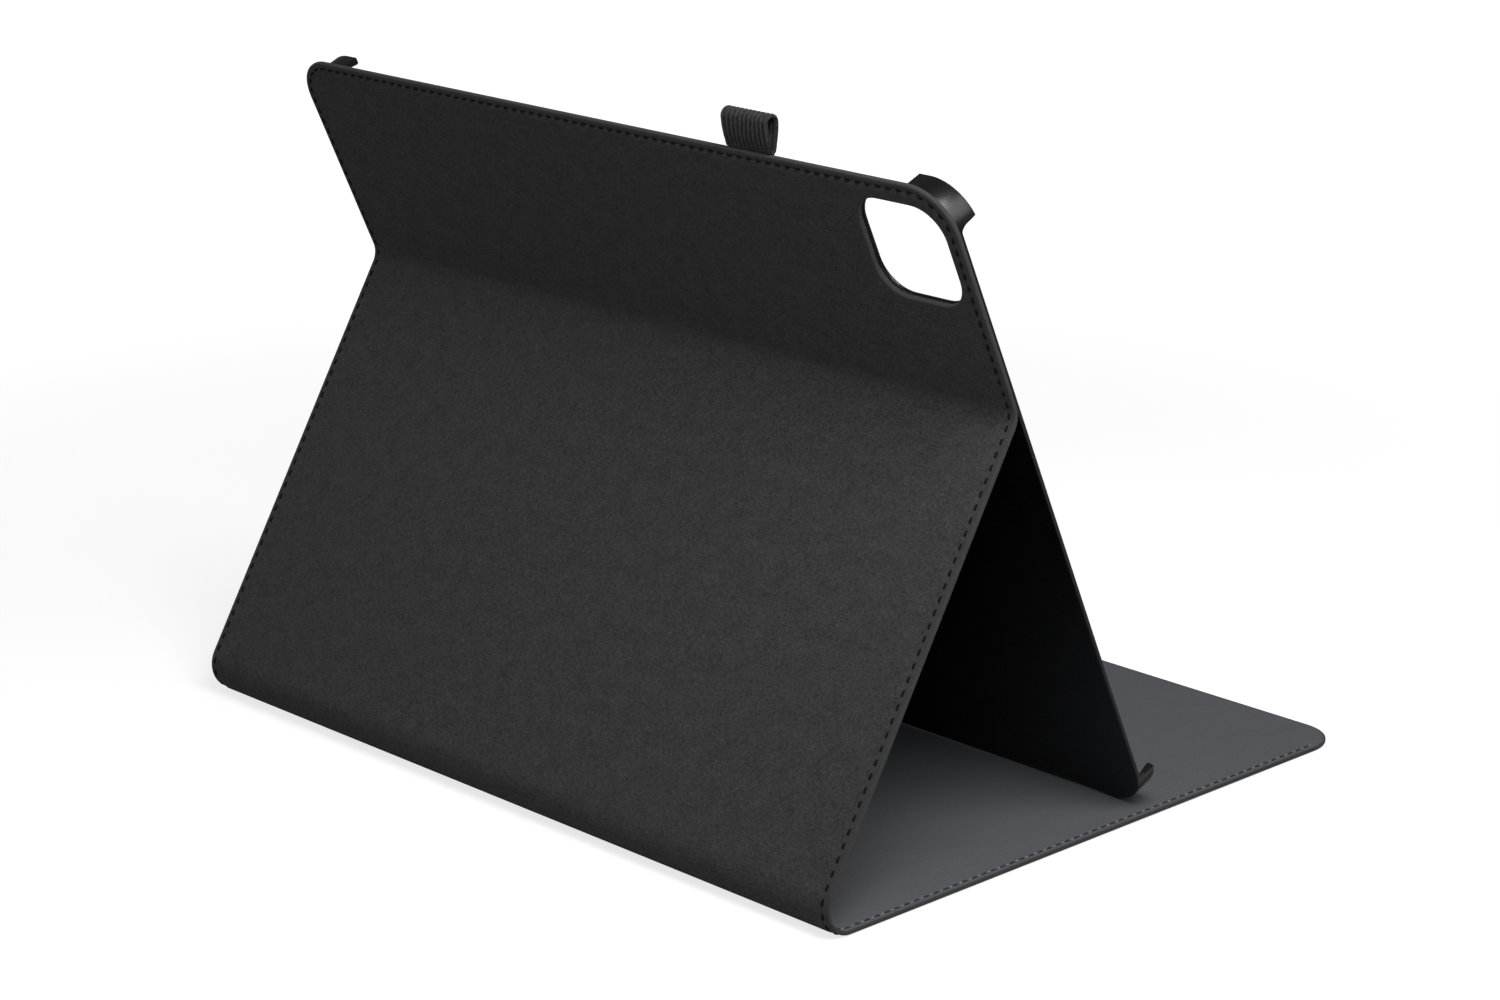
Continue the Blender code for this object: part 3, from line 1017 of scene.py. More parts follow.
@dataclass
class Cover:
    """The outer cloth: it covers the boards from outside and is turned over at every edge."""

    strip: Strip
    bends: Bends
    window: Window
    corner: float = 14.5 * MM
    thickness: float = 0.5 * MM
    swell_inset: float = 4.2 * MM
    pinch: float = 0.3 * MM
    inner_pinch: float = 0.2 * MM
    groove_inset: float = 2.2 * MM
    groove_half: float = 0.6 * MM
    groove_depth: float = 0.16 * MM
    edge_round: float = 0.55 * MM
    rim_round: float = 0.25 * MM
    rim: float = 0.5 * MM
    rim_low: float = 0.25 * MM
    rim_top: float = 0.5 * MM
    turned: float = 3.8 * MM
    turned_low: float = 0.36 * MM
    turned_top: float = 0.65 * MM
    turned_from: float = 3.0 * MM
    turned_full: float = 12.0 * MM
    front_end_stretch: float = 1.22
    top_end_stretch: float = 0.92
    window_round: float = 0.4 * MM
    window_rim: float = 0.9 * MM
    window_edge: float = 0.2 * MM
    border_inset: float = 1.1 * MM
    inside_insets: tuple[float, float] = (0.9 * MM, 3.2 * MM)
    swell_lead: float = 0.2 * MM
    slack: float = 0.05 * MM
    flat_from: float = 30.0 * MM
    round_steps: int = 5
    window_steps: int = 4

    def swell(self, inset: float) -> float:
        """Share of the panel's full thickness at this distance from the edge."""
        return smooth(inset, self.groove_inset - self.swell_lead, self.swell_inset)

    def face(self, inset: float) -> float:
        """Depth of the outer face: full inside, pinched along the border and pressed in at the seam.

        Args:
            inset: Distance from the edge.

        Returns:
            The depth.
        """
        near = min(abs(inset - self.groove_inset) / self.groove_half, 1.0)
        groove = self.groove_depth * (1 + math.cos(math.pi * near)) / 2
        return -self.strip.half + self.pinch * (1 - self.swell(inset)) + groove

    def section(self, rim: float, low: float, top: float) -> Section:
        """The edge's cross-section, from the outer face round to the inside.

        Args:
            rim: Width of the cloth that is turned over.
            low: Underside of the turned cloth.
            top: Its upper side.

        Returns:
            Pairs of inset and depth.
        """
        seam, wide, half = self.groove_inset, self.groove_half, self.strip.half
        groove = np.linspace(seam + wide, seam - wide, 9)[1:]
        insets = [*np.linspace(self.swell_inset, seam + wide, 5), *groove, self.border_inset]
        outside = [(inset, self.face(inset)) for inset in insets]
        over = lower_round(self.edge_round, self.pinch - half, self.round_steps)
        back = upper_round(self.rim_round, top, self.round_steps)
        outer, inner = self.inside_insets
        inside = [
            (inset, self.thickness - half + self.inner_pinch * (1 - self.swell(inset)))
            for inset in (outer, seam, inner, self.swell_inset)
        ]
        return [
            *outside, *over, *back, (rim, top), (rim, low), (self.rim + self.slack, low - self.slack),
            (self.rim + 2 * self.slack, inside[0][1] + self.slack), *inside,
        ]

    def window_section(self) -> Section:
        """The window rim's cross-section, from the outer face through to the inside.

        Returns:
            Pairs of outset and depth.
        """
        half, top, edge = self.strip.half, self.turned_top, self.window_edge
        return [
            *lower_round(self.window_round, -half, self.window_steps), (0.0, top - edge), (edge, top),
            (self.window_rim, top), (self.window_rim, self.thickness - half),
        ]

    def upper_mesh(self) -> tuple[Panel, np.ndarray, Faces, np.ndarray, np.ndarray]:
        """The stretch over the fold, whose narrow turned edge grows wide where it is bonded to the tray.

        Returns:
            The panel, its points, faces, places on the cloth and distances from the edge.
        """
        strip = self.strip
        meshes = []
        for section in (
            self.section(self.rim, self.rim_low, self.rim_top),
            self.section(self.turned, self.turned_low, self.turned_top),
        ):
            panel = Panel(
                strip, section, self.bends.strut_seam, strip.top, End.HIGH, self.corner,
                end_stretch=self.top_end_stretch, flat_from=strip.on_upper(self.flat_from),
                window=self.window, window_section=self.window_section(),
            )
            meshes.append(panel.build())
        free, bonded = meshes[0][0], meshes[1][0]
        share = smooth(bonded[:, 1:2], strip.fold_end + self.turned_from, strip.fold_end + self.turned_full)
        return panel, free + (bonded - free) * share, *meshes[1][1:]

    def build(self) -> None:
        """Makes the three stretches of the cover."""
        strip, bends = self.strip, self.bends
        cloth = HEATHER.make()
        section = self.section(self.rim, self.rim_low, self.rim_top)
        front = Panel(
            strip, section, 0.0, bends.spine_seam, End.LOW, self.corner, end_stretch=self.front_end_stretch
        )
        strut = Panel(strip, section, bends.spine_seam, bends.strut_seam, corner=self.corner)
        stretches = (
            ("front_cover", (front, *front.build()), ("front", "spine"),
             ("front_skin", "front_crease", "spine_skin", "spine_board")),
            ("strut_cover", (strut, *strut.build()), ("spine", "strut"), ("strut_skin", "spine_crease")),
            ("upper_cover", self.upper_mesh(), ("strut", "tray"), ("upper_skin", "fold_crease")),
        )
        for name, (panel, flat, faces, places, edges), bodies, nodes in stretches:
            piece = new_piece(name, strip.bend(flat), faces, cloth, places, edges)
            size = (strip.width, panel.high - panel.low)
            bends.lay(piece, bodies, nodes, "outer_fabric", size, "stretched")


@dataclass
class Lining:
    """The grey lining, sewn inside the turned edge from the front panel round the foot and up the strut."""

    strip: Strip
    bends: Bends
    corner: float = 14.5 * MM
    inset: float = 0.52 * MM
    border_low: float = 0.32 * MM
    border_top: float = 0.56 * MM
    thickness: float = 0.5 * MM
    swell_from: float = 2.8 * MM
    swell_inset: float = 16.5 * MM
    groove_inset: float = 2.1 * MM
    groove_half: float = 0.7 * MM
    groove_depth: float = 0.12 * MM
    end_stretch: float = 1.18
    fold_gap: float = 0.6 * MM
    edge_round: float = 0.1 * MM
    back_inset: float = 0.25 * MM
    border_inset: float = 1.2 * MM

    def layer(self, inset: float) -> tuple[float, float]:
        """Depths of the lining's two faces, which rise softly from the pinched border to the padded middle.

        Args:
            inset: Distance from the panel's edge.

        Returns:
            The depth of the back and of the face that shows.
        """
        swell = smooth(inset, self.swell_from, self.swell_inset)
        near = min(abs(inset - self.groove_inset) / self.groove_half, 1.0)
        groove = self.groove_depth * (1 + math.cos(math.pi * near)) / 2
        top = self.strip.half
        low = self.border_low + (top - self.thickness - self.border_low) * swell
        return low, self.border_top + (top - self.border_top) * swell - groove

    def section(self) -> Section:
        """The edge's cross-section, from the back face round to the face that shows.

        Returns:
            Pairs of inset and depth.
        """
        seam, wide = self.groove_inset, self.groove_half
        rise = np.linspace(self.swell_inset, self.swell_from, 9)
        groove = np.linspace(seam - wide, seam + wide, 9)
        back = [(inset, self.layer(inset)[0]) for inset in (*rise[:-1:2], self.inset + self.back_inset)]
        small = self.edge_round
        edge = [(self.inset, self.border_low + small), (self.inset + small, self.border_top)]
        front = [(inset, self.layer(inset)[1]) for inset in (self.border_inset, *groove, *rise[-2::-1])]
        return [*back, *edge, *front]

    def build(self) -> None:
        """Makes the two stretches of lining."""
        strip, bends = self.strip, self.bends
        cloth = LINING.make()
        shared = {"strip": strip, "section": self.section(), "corner": self.corner}
        front = Panel(low=0.0, high=bends.spine_seam, end=End.LOW, end_stretch=self.end_stretch, **shared)
        strut = Panel(low=bends.spine_seam, high=strip.fold_start - self.fold_gap, **shared)
        stretches = (
            ("front_lining_cloth", front, ("front", "spine"), ("front_lining", "spine_lining")),
            ("strut_lining_cloth", strut, ("spine", "strut"), ("strut_lining",)),
        )
        for name, panel, bodies, nodes in stretches:
            flat, faces, places, edges = panel.build()
            piece = new_piece(name, strip.bend(flat), faces, cloth, places, edges)
            size = (strip.width - 2 * self.inset, panel.high - panel.low)
            bends.lay(piece, bodies, nodes, "lining_fabric", size, "laid")


@dataclass
class Stitching:
    """Rows of lock stitches, each a short length of thread that dips into the cloth at both ends."""

    strip: Strip
    bends: Bends
    pitch: float = 3.9 * MM
    length: float = 2.2 * MM
    thread: float = 0.4 * MM
    lining_thread: float = 0.34 * MM
    dip: float = 0.3 * MM
    dot_length: float = 0.8 * MM
    dot_thread: float = 0.26 * MM
    stand: float = 0.55
    flattened: float = 0.8
    tip_thin: float = 0.04
    look: float = 0.2 * MM
    fold_clear: float = 6.0 * MM
    sides: int = 8
    stations: int = 7
    run_steps: int = 400
    arc_steps: int = 40
    end_steps: int = 300

    def route(
        self, inset: float, low: float, high: float, end: End, stretch: float, corner: float
    ) -> np.ndarray:
        """The line that a row of stitches follows on the flat strip.

        Args:
            inset: Distance from the edge.
            low: Where the row starts along the strip.
            high: Where it ends.
            end: Which free end it goes round, if any.
            stretch: How much wider the margin is at the free end.
            corner: The panel's corner radius.

        Returns:
            Points of x and s, closely spaced, with a row of nan between separate lines.
        """
        beside = np.full(self.run_steps, self.strip.width / 2 - inset)
        if end is End.NONE:
            right = np.column_stack([beside, np.linspace(low, high, self.run_steps)])
            return np.concatenate([right, np.full((1, 2), np.nan), right * (-1, 1)])
        sign, tip, far = (-1, low, high) if end is End.LOW else (1, high, low)
        middle = tip - sign * corner
        angles = np.linspace(0.0, math.pi / 2, self.arc_steps)
        arc_x = self.strip.width / 2 - corner + (corner - inset) * np.cos(angles)
        arc_s = middle + sign * (corner - inset * stretch) * np.sin(angles)
        straight = np.column_stack([beside, np.linspace(far, middle, self.run_steps)])
        right = np.concatenate([straight, np.column_stack([arc_x, arc_s])])
        across = np.linspace(arc_x[-1], -arc_x[-1], self.end_steps)[1:-1]
        end_row = np.column_stack([across, np.full(len(across), arc_s[-1])])
        return np.concatenate([right, end_row, right[::-1] * (-1, 1)])

    def places(self, route: np.ndarray, start: float = 0.5) -> list[tuple[float, float, float, float]]:
        """Evenly spaced stitches along a route.

        Args:
            route: Points of x and s.
            start: Share of a pitch before the first stitch.

        Returns:
            Each stitch's x, s and direction.
        """
        found = []
        breaks = np.flatnonzero(np.isnan(route[:, 0]))
        for line in np.split(route, breaks):
            line = line[~np.isnan(line[:, 0])]
            steps = np.linalg.norm(np.diff(line, axis=0), axis=1)
            travelled = np.concatenate([[0.0], np.cumsum(steps)])
            count = int(travelled[-1] / self.pitch)
            spacing = travelled[-1] / count
            for along in (np.arange(count) + start) * spacing:
                behind, here, ahead = (
                    np.array([np.interp(along + step, travelled, line[:, axis]) for axis in (0, 1)])
                    for step in (-self.look, 0.0, self.look)
                )
                way = ahead - behind
                found.append((*here, *(way / math.hypot(*way))))
        return found

    def threads(
        self, name: str, places: list[tuple[float, float, float, float]], depth: float, outward: float,
        length: float, radius: float, finish: bpy.types.Material,
    ) -> bpy.types.Object:
        """One object that holds a row's stitches.

        Args:
            name: The piece's name.
            places: Each stitch's x, s and direction.
            depth: The groove's depth in the strip.
            outward: -1 on the outer face, 1 on the lining.
            length: Length of a stitch.
            radius: Radius of the thread.
            finish: Its material.

        Returns:
            The object.
        """
        turns = np.arange(self.sides) * 2 * math.pi / self.sides
        shares = np.linspace(-1.0, 1.0, self.stations)
        points, faces = [], []
        for x, s, ahead_x, ahead_s in places:
            first = len(points)
            for share in shares:
                thick = radius * math.sqrt(max(1 - share**6, self.tip_thin))
                height = depth + outward * (self.stand * radius - self.dip * share**4)
                for turn in turns:
                    aside = thick * math.cos(turn)
                    points.append((
                        x + ahead_x * share * length / 2 - ahead_s * aside,
                        s + ahead_s * share * length / 2 + ahead_x * aside,
                        height + thick * self.flattened * math.sin(turn),
                    ))
            faces += ring_faces(first, self.sides, self.stations)
            faces.append(tuple(range(first + self.sides - 1, first - 1, -1)))
            faces.append(tuple(range(len(points) - self.sides, len(points))))
        return new_piece(name, self.strip.bend(np.array(points)), faces, finish)

    def build(self, cover: Cover, lining: Lining) -> None:
        """Sews the cover's rows and the lining's.

        Args:
            cover: The cover, which gives the outer grooves.
            lining: The lining, which gives the inner ones.
        """
        strip, bends = self.strip, self.bends
        black, grey, pale = BLACK_THREAD.make(), GREY_THREAD.make(), PALE_THREAD.make()
        outer = cover.face(cover.groove_inset)
        inner = lining.layer(lining.groove_inset)[1]
        spine, strut = bends.spine_seam, bends.strut_seam
        rows = (
            ("front_stitches", ("front", "spine"), 0.0, spine, End.LOW, cover.front_end_stretch),
            ("strut_stitches", ("spine", "strut"), spine, strut, End.NONE, 1.0),
            ("upper_stitches", ("strut", "tray"), strut, strip.top, End.HIGH, cover.top_end_stretch),
        )
        for name, bodies, low, high, end, stretch in rows:
            route = self.route(cover.groove_inset, low, high, end, stretch, cover.corner)
            piece = self.threads(name, self.places(route), outer, -1.0, self.length, self.thread, black)
            bends.blend(piece, bodies)
            log.info("%s sewn", name)
        lined = (
            ("front_lining", ("front", "spine"), lining.corner, spine),
            ("strut_lining", ("spine", "strut"), spine, strip.fold_start - self.fold_clear),
        )
        for label, bodies, low, high in lined:
            route = self.route(lining.groove_inset, low, high, End.NONE, 1.0, lining.corner)
            dark = self.threads(
                f"{label}_stitches", self.places(route), inner, 1.0, self.length, self.lining_thread, grey
            )
            dots = self.threads(
                f"{label}_dots", self.places(route, 0.0), inner, 1.0, self.dot_length, self.dot_thread, pale
            )
            for piece in (dark, dots):
                bends.blend(piece, bodies)
            log.info("%s sewn", label)


@dataclass
class Tray:
    """The moulded tray: a plate with a low rim, and a hooked clip round each corner."""

    strip: Strip
    window: Window
    width: float = 283.4 * MM
    foot: float = -145.8 * MM
    top: float = 71.9 * MM
    corner: float = 13.5 * MM
    wall: float = 1.2 * MM
    back: float = 1.4 * MM
    plate: float = 0.8 * MM
    rim: float = 0.5 * MM
    pocket: float = 6.0 * MM
    lip: float = 1.1 * MM
    reach: float = 1.2 * MM
    edge_round: float = 0.5 * MM
    border: float = 0.9 * MM
    clip_from: float = math.radians(8.5)
    clip_run: float = 4.0 * MM
    clip_foot: float = 2.3 * MM
    clip_heel: float = 0.36
    hollow: float = 0.85
    hollow_power: float = 2.6
    run_clips: tuple = ((0.5, 1.0), (0.9, 1.0), (0.97, 1.0), (1.0, 0.0))
    rim_lip: float = 0.3 * MM
    tip_flat: float = 0.25 * MM
    rim_chamfer: float = 0.08 * MM
    lip_chamfer: float = 0.2 * MM
    draft: float = 0.02 * MM
    fillet: float = 0.05 * MM
    window_round: float = 0.3 * MM
    window_soft: float = 0.09 * MM
    corner_steps: int = 26
    end_steps: int = 14
    round_steps: int = 4
    least_turn: float = 0.02

    def stations(self) -> list[tuple[float, float, float, float, float]]:
        """Points round the tray's outside, with the way out and how much of a clip stands there.

        Returns:
            X, y, the outward direction's x and y, and the clip's share.
        """
        foot = self.clip_foot / self.corner
        near = np.linspace(self.clip_from - foot / 2, self.clip_from + foot / 2, self.end_steps + 1)
        even = np.linspace(0.0, math.pi / 2, self.corner_steps + 1)
        angles = [angle for angle in even if abs(angle - near).min() > self.least_turn]
        corner = []
        for angle in np.sort(np.concatenate([angles, near])):
            x, y = math.cos(angle), math.sin(angle)
            corner.append((self.corner * x, self.corner * y, x, y, self.clip_share(angle)))
        for run, clip in self.run_clips:
            corner.append((-run * self.clip_run, self.corner, 0.0, 1.0, clip))
        found = []
        for side, end in ((1, 1), (-1, 1), (-1, -1), (1, -1)):
            middle = self.top - self.corner if end > 0 else self.foot + self.corner
            for x, y, out_x, out_y, clip in corner if side == end else corner[::-1]:
                across = side * (self.width / 2 - self.corner + x)
                found.append((across, middle + end * y, side * out_x, end * out_y, clip))
        return found

    def clip_share(self, from_side: float) -> float:
        """How much of a clip stands at this angle: its end on the short side rises from a hollow foot.

        Args:
            from_side: Angle from the tray's short side.

        Returns:
            0 for the low rim, 1 for a whole clip.
        """
        past = (from_side - self.clip_from) * self.corner / self.clip_foot + 0.5
        if past >= 1.0:
            return 1.0
        heel = self.clip_heel * max(past / self.hollow, 0.0) ** self.hollow_power
        rise = max((past - self.hollow) / (1 - self.hollow), 0.0)
        return min(heel + (1 - self.clip_heel) * rise, 1.0)

    def profile(self, clip: float) -> Section:
        """The wall's cross-section, from the back's border round to the floor's.

        Args:
            clip: 0 for the low rim, 1 for a whole clip.

        Returns:
            Pairs of inset from the outside and height.
        """
        floor = self.back + self.plate
        low, high = floor + self.rim, floor + self.pocket + self.lip
        top = low + (high - low) * clip
        under = top - self.rim_lip - (self.lip - self.rim_lip) * clip
        tip = self.wall + self.reach * clip
        return [
            (self.wall + self.border, self.back), *lower_round(self.edge_round, self.back, self.round_steps),
            *upper_round(self.edge_round, top, self.round_steps), (tip - self.tip_flat, top),
            (tip, top - self.rim_chamfer - self.lip_chamfer * clip), (tip, under + 2 * self.draft),
            (self.wall - self.draft + self.draft * clip, under), (self.wall, floor + self.fillet),
            (self.wall + 2 * self.fillet, floor), (self.wall + self.border, floor),
        ]

    def build(self) -> None:
        """Makes the tray and hangs it on its body."""
        stations = self.stations()
        rings = len(self.profile(0.0))
        count = len(stations)
        local = np.zeros((rings * count, 3))
        for index, (x, y, out_x, out_y, clip) in enumerate(stations):
            for ring, (inset, height) in enumerate(self.profile(clip)):
                local[ring * count + index] = (x - inset * out_x, y - inset * out_y, height)
        faces = [(face[0], *face[:0:-1]) for face in ring_faces(0, count, rings)]
        floor = self.back + self.plate
        wide, soft = self.window_round, self.window_soft
        section = [
            (wide, self.back), (soft, self.back + soft), (0.0, self.back + wide),
            (0.0, floor - wide), (soft, floor - soft), (wide, floor),
        ]
        rim = self.window.rings(section, np.array([self.window.x, self.window.height]))
        hole = len(rim) // len(section)
        first = len(local)
        local = np.concatenate([local, rim])
        faces += ring_faces(first, hole, len(section))
        for ring, start, facing in ((0, first, -1.0), (first - count, len(local) - hole, 1.0)):
            loops = [list(range(ring, ring + count)), list(range(start, start + hole))]
            faces += filled(local, loops, facing)
        piece = new_piece("moulded_tray", self.strip.tray_point(local), faces, PLASTIC.make())
        hang(piece, "tray", "tray_shell")


@dataclass
class PenLoop:
    """The elastic pen loop: a ribbed band, folded in half, with its tab between the cover and the tray."""

    strip: Strip
    x: float = -66.8 * MM
    middle: float = 0.95 * MM
    tab_foot: float = 58.9 * MM
    base: float = 74.7 * MM
    crown: float = 86.1 * MM
    depth: float = 4.7 * MM
    width: float = 18.5 * MM
    band: float = 0.9 * MM
    tab_band: float = 0.18 * MM
    ribs: int = 11
    rib_height: float = 0.3 * MM
    flare: float = 0.6 * MM
    lean: float = math.radians(20.0)
    lean_reach: float = 1.5 * MM
    tab_gap: float = 0.02 * MM
    opening: tuple[float, float] = (-0.45, 0.75)
    side_span: tuple[float, float] = (0.06, 0.97)
    swell_span: tuple[float, float] = (-1.0 * MM, 4.0 * MM)
    wave: float = 0.22 * MM
    wave_length: float = 1.8 * MM
    wave_across: float = 3.0
    edge_from: float = 0.95
    edge_thin: float = 0.02
    inner_rib: float = 0.5
    inner_shift: float = 0.1
    tab_steps: int = 5
    side_steps: int = 14
    across_steps: int = 110
    tip_steps: int = 18

    def centreline(self) -> np.ndarray:
        """The band's middle line, seen from the side, from one end of the tab round to the other.

        Returns:
            Rows of height and offset from the tab's middle.
        """
        radius = (self.depth - self.band) / 2
        shoulder = self.crown - self.depth / 2
        least = self.tab_band / 2 + self.tab_gap
        tab = [(height, least) for height in np.linspace(self.tab_foot, self.base, self.tab_steps)]
        side = []
        for rise in np.linspace(*self.side_span, self.side_steps):
            offset = least + (radius - least) * smooth(rise, *self.opening)
            side.append((self.base + (shoulder - self.base) * rise, offset))
        turns = np.linspace(0.0, math.pi, 2 * self.tip_steps)
        tip = [(shoulder + radius * math.sin(turn), radius * math.cos(turn)) for turn in turns]
        half = tab + side
        return np.array(half + tip + [(height, -offset) for height, offset in reversed(half)])

    def leaning(self, local: np.ndarray) -> np.ndarray:
        """Leans the loop to the tray's front, more and more over its first millimetres above the cover.

        Args:
            local: Points on the tray.

        Returns:
            The points of the leaning loop.
        """
        rise, aside = local[:, 1] - self.base, local[:, 2] - self.middle
        lean = self.lean * smooth(rise, -self.lean_reach, self.lean_reach)
        made = local.copy()
        made[:, 1] = self.base + rise * np.cos(lean) - aside * np.sin(lean)
        made[:, 2] = self.middle + rise * np.sin(lean) + aside * np.cos(lean)
        return made

    def build(self) -> None:
        """Makes the loop and hangs it on the tray's body."""
        line = self.centreline()
        ahead = np.gradient(line, axis=0)
        ahead /= np.linalg.norm(ahead, axis=1, keepdims=True)
        normal = np.column_stack([ahead[:, 1], -ahead[:, 0]]) * -1
        travelled = np.concatenate([[0.0], np.cumsum(np.linalg.norm(np.diff(line, axis=0), axis=1))])
        open_share = smooth(line[:, 0], *(self.base + reach for reach in self.swell_span))
        shares = np.linspace(-1.0, 1.0, self.across_steps + 1)
        past = np.clip((np.abs(shares) - self.edge_from) / (1 - self.edge_from), 0, 1)
        edge = np.sqrt(np.clip(1 - past**2, self.edge_thin, 1))
        points, places = [], []
        for (height, offset), (up, aside), share, along in zip(line, normal, open_share, travelled):
            thick = self.tab_band + (self.band - self.tab_band) * share
            wide = self.width / 2 + self.flare / 2 * share
            wave = self.wave * math.sin(along / self.wave_length) * share
            rib = self.rib_height * share * np.cos(shares * math.pi * self.ribs)
            across = self.x + shares * wide + wave * np.cos(self.wave_across * shares)
            for face, ribbed, shift in ((1, rib, 0.0), (-1, self.inner_rib * rib, self.inner_shift)):
                lift = face * (thick / 2 + ribbed) * edge
                row = np.column_stack([across, height + up * lift, self.middle + offset + aside * lift])
                points.append(row[::face])
                flat = shares[::face] * self.width / 2
                places.append(np.column_stack([flat, np.full(len(row), along + shift)]))
        ring = 2 * (self.across_steps + 1)
        faces = ring_faces(0, ring, len(line))
        for start, turn in ((0, -1), ((len(line) - 1) * ring, 1)):
            for index in range(start, start + self.across_steps):
                other = 2 * start + ring - 1 - index
                faces.append((index, index + 1, other - 1, other)[::turn])
        made = self.strip.tray_point(self.leaning(np.concatenate(points)))
        piece = new_piece("elastic_loop", made, faces, ELASTIC.make(), np.concatenate(places))
        hang(piece, "tray", "pen_loop")


@dataclass
class Stiffeners:
    """The boards, magnets and adhesive inside the cover, which show only where the case is opened up."""

    strip: Strip
    magnets: tuple[str, ...] = tuple(f"magnet_{number}" for number in range(1, 5))
    corner: float = 12.0 * MM
    corner_steps: int = 8
    foot_gap: float = 0.5 * MM
    magnet_gap: float = 0.3 * MM
    magnet_steps: int = 32

    def dress(self) -> None:
        """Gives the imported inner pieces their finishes."""
        board, film, steel = BOARD.make(), FILM.make(), STEEL.make()
        finishes = {"strut_board": board, "upper_board": board, "bond_sheet": film}
        finishes.update({name: steel for name in self.magnets})
        for name, finish in finishes.items():
            node = frame["nodes"][name]
            node.data.materials.clear()
            node.data.materials.append(finish)
            log.info("%s dressed", name)

    def build(self) -> None:
        """Makes the front panel's board, which stops where the foot begins to turn up."""
        low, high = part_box("front_board")
        corners = []
        for turn, side in enumerate((-1, 1)):
            for step in range(self.corner_steps + 1):
                angle = math.pi + math.pi / 2 * (turn + step / self.corner_steps)
                x = side * (high.x - self.corner) + self.corner * math.cos(angle)
                corners.append((x, low.y + self.corner + self.corner * math.sin(angle)))
        far = self.strip.starts[1][0] - self.foot_gap
        loops = [np.array([*corners, (high.x, far), (low.x, far)])]
        angles = np.linspace(0, 2 * math.pi, self.magnet_steps + 1)[:-1]
        for name in self.magnets:
            first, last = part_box(name)
            radius = (last.x - first.x) / 2 + self.magnet_gap
            x, y = (first.x + last.x) / 2, (first.y + last.y) / 2
            loops.append(np.column_stack([x + radius * np.cos(angles), y + radius * np.sin(angles)]))
        flat = np.concatenate(loops)
        count = len(flat)
        levels = [np.column_stack([flat, np.full(count, height)]) for height in (low.z, high.z)]
        points = np.concatenate(levels)
        numbers, start = [], 0
        for loop in loops:
            numbers.append(list(range(start, start + len(loop))))
            start += len(loop)
        faces = filled(points, numbers, -1.0)
        faces += filled(points, [[number + count for number in loop] for loop in numbers], 1.0)
        for index, loop in enumerate(numbers):
            for here, after in zip(loop, loop[1:] + loop[:1]):
                side = (here, after, after + count, here + count)
                faces.append(side if index == 0 else side[::-1])
        piece = new_piece("front_stiffener", points, faces, BOARD.make())
        hang(piece, "front", "front_board")


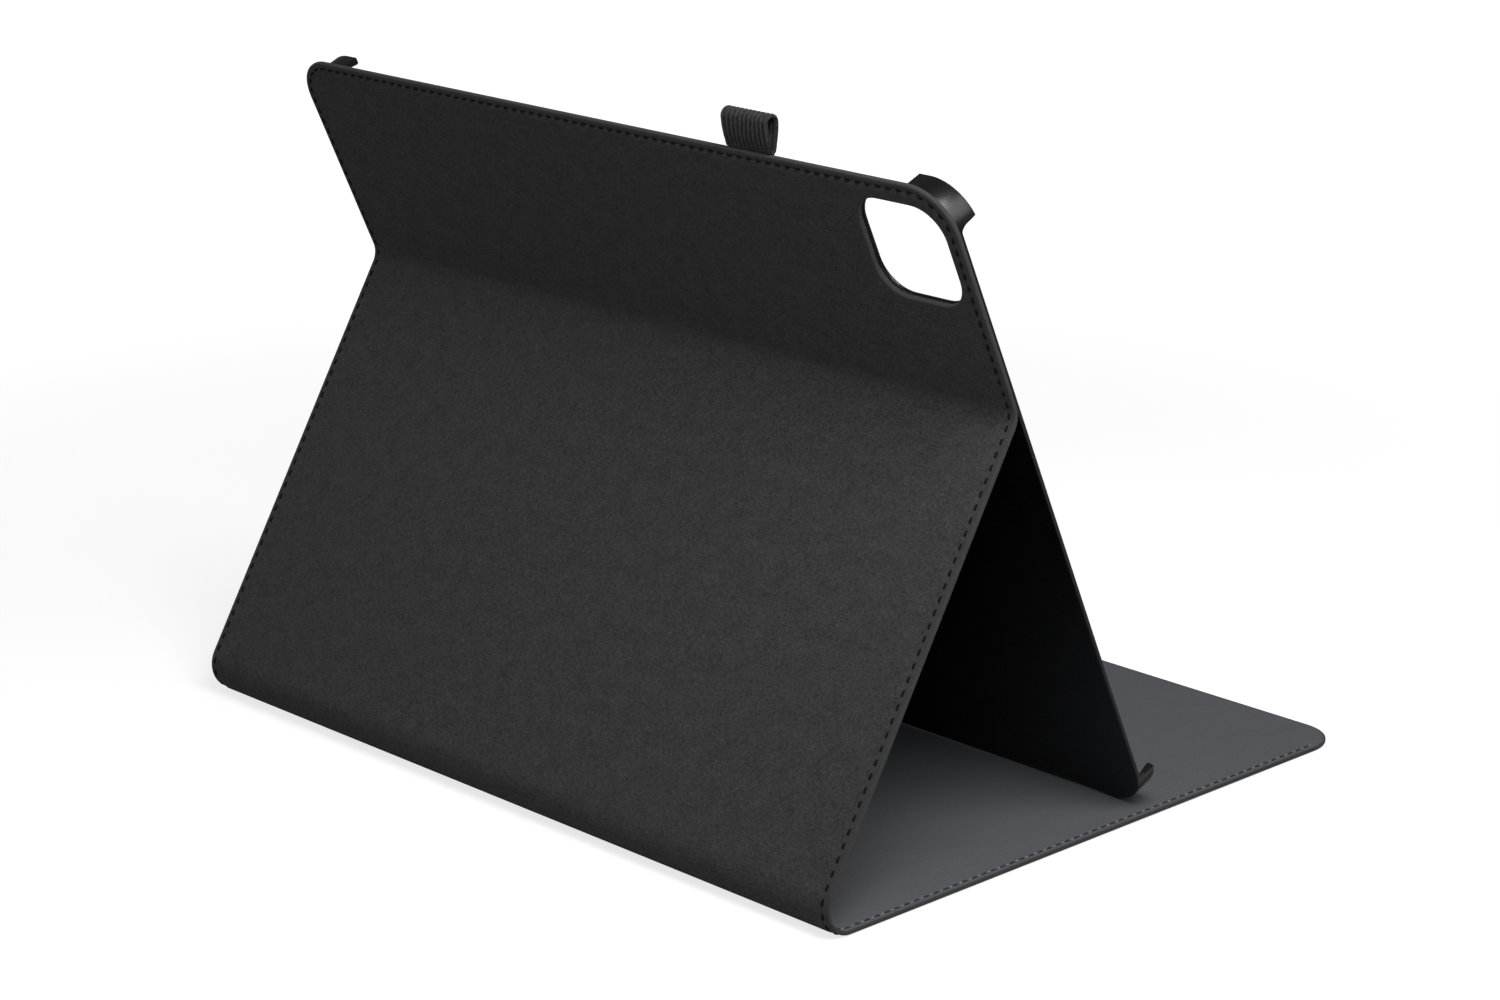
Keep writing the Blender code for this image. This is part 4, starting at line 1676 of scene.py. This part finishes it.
@dataclass
class Studio:
    """Floor, soft light and the camera."""

    camera_place: Vector = field(default_factory=lambda: Vector((-834.66, 793.53, 423.72)) * MM)
    yaw: float = math.radians(46.69)
    pitch: float = math.radians(16.966)
    roll: float = math.radians(0.46)
    lens: float = 91.95
    sensor: float = 36.0
    floor_size: float = 12.0
    sky: float = 0.12
    floor_tone: float = 0.38
    floor_glow: float = 0.76
    glow_reach: tuple[float, float] = (0.3, 0.9)
    floor_drop: float = 0.05 * MM
    aim: Vector = field(default_factory=lambda: Vector((0, 0, 0.08)))

    def build(self) -> None:
        """Sets up the stage."""
        bpy.context.scene.view_settings.view_transform = "Standard"
        self.build_camera()
        self.build_floor()
        self.build_sky()
        self.build_lamps()

    def build_camera(self) -> None:
        """The camera, behind the stand and a little above it."""
        ahead = Vector((
            math.sin(self.yaw) * math.cos(self.pitch), -math.cos(self.yaw) * math.cos(self.pitch),
            -math.sin(self.pitch),
        ))
        level = ahead.cross(Vector((0, 0, 1))).normalized()
        down = ahead.cross(level)
        right = math.cos(self.roll) * level + math.sin(self.roll) * down
        up = right.cross(ahead)
        data = bpy.data.cameras.new("camera")
        data.lens = self.lens
        data.sensor_width = self.sensor
        camera = bpy.data.objects.new("camera", data)
        turn = Matrix((right, up, -ahead)).transposed().to_4x4()
        camera.matrix_world = Matrix.Translation(self.camera_place) @ turn
        bpy.context.scene.collection.objects.link(camera)
        bpy.context.scene.camera = camera

    def build_floor(self) -> None:
        """A plain white floor, which keeps the case's soft shadow."""
        half = self.floor_size / 2
        points = np.array([(-half, -half, 0), (half, -half, 0), (half, half, 0), (-half, half, 0)])
        graph = NodeGraph("floor")
        graph.plain(Base_Color=(*[self.floor_tone] * 3, 1.0), Roughness=0.9, Specular_IOR_Level=0.0)
        graph.plain(Emission_Color=(1.0, 1.0, 1.0, 1.0))
        path = graph.add("LightPath")
        distance = graph.add("VectorMath", operation="LENGTH")
        graph.link(graph.object_place(), distance.inputs[0])
        level = graph.span(distance.outputs["Value"], *self.glow_reach, self.floor_glow, 1.0)
        glow = graph.math("MULTIPLY", path.outputs["Is Camera Ray"], level)
        graph.link(glow, graph.shader.inputs["Emission Strength"])
        floor = new_piece("floor", points, [(0, 1, 2, 3)], graph.material)
        floor.location.z = -self.floor_drop

    def build_sky(self) -> None:
        """A white surround that the camera sees as white, and that lights the case softly."""
        world = bpy.data.worlds.new("studio")
        bpy.context.scene.world = world
        world.use_nodes = True
        tree = world.node_tree
        path = tree.nodes.new("ShaderNodeLightPath")
        seen = tree.nodes.new("ShaderNodeMapRange")
        seen.inputs["To Min"].default_value = self.sky
        seen.inputs["To Max"].default_value = 1.0
        tree.links.new(path.outputs["Is Camera Ray"], seen.inputs["Value"])
        tree.links.new(seen.outputs["Result"], tree.nodes["Background"].inputs["Strength"])
        tree.nodes["Background"].inputs["Color"].default_value = (1.0, 1.0, 1.0, 1.0)

    def build_lamps(self) -> None:
        """A soft key lamp near the camera's right, two lamps over the front and a low one on the left."""
        lamps = (
            ("key", Vector((-0.38, 0.20, 0.55)), 0.36, 4.0),
            ("front_right", Vector((-0.85, -0.3, 0.8)), 0.6, 3.2),
            ("front", Vector((0.0, -1.2, 1.2)), 1.0, 1.6),
            ("left", Vector((0.6, 0.75, 0.27)), 0.36, 0.9),
        )
        for name, place, size, power in lamps:
            data = bpy.data.lights.new(name, "AREA")
            data.size = size
            data.energy = power
            lamp = bpy.data.objects.new(name, data)
            lamp.location = place
            lamp.visible_camera = False
            lamp.rotation_euler = (self.aim - place).to_track_quat("-Z", "Y").to_euler()
            bpy.context.scene.collection.objects.link(lamp)


def main() -> None:
    """Builds and dresses the case in order, then the studio."""
    logging.basicConfig(level=logging.INFO, format="%(name)s: %(message)s")
    strip = Strip()
    bends = Bends(strip)
    window = Window()
    Studio().build()
    cover = Cover(strip, bends, window)
    lining = Lining(strip, bends)
    cover.build()
    lining.build()
    Stitching(strip, bends).build(cover, lining)
    Tray(strip, window).build()
    PenLoop(strip).build()
    stiffeners = Stiffeners(strip)
    stiffeners.dress()
    stiffeners.build()


if __name__ == "__main__":
    main()
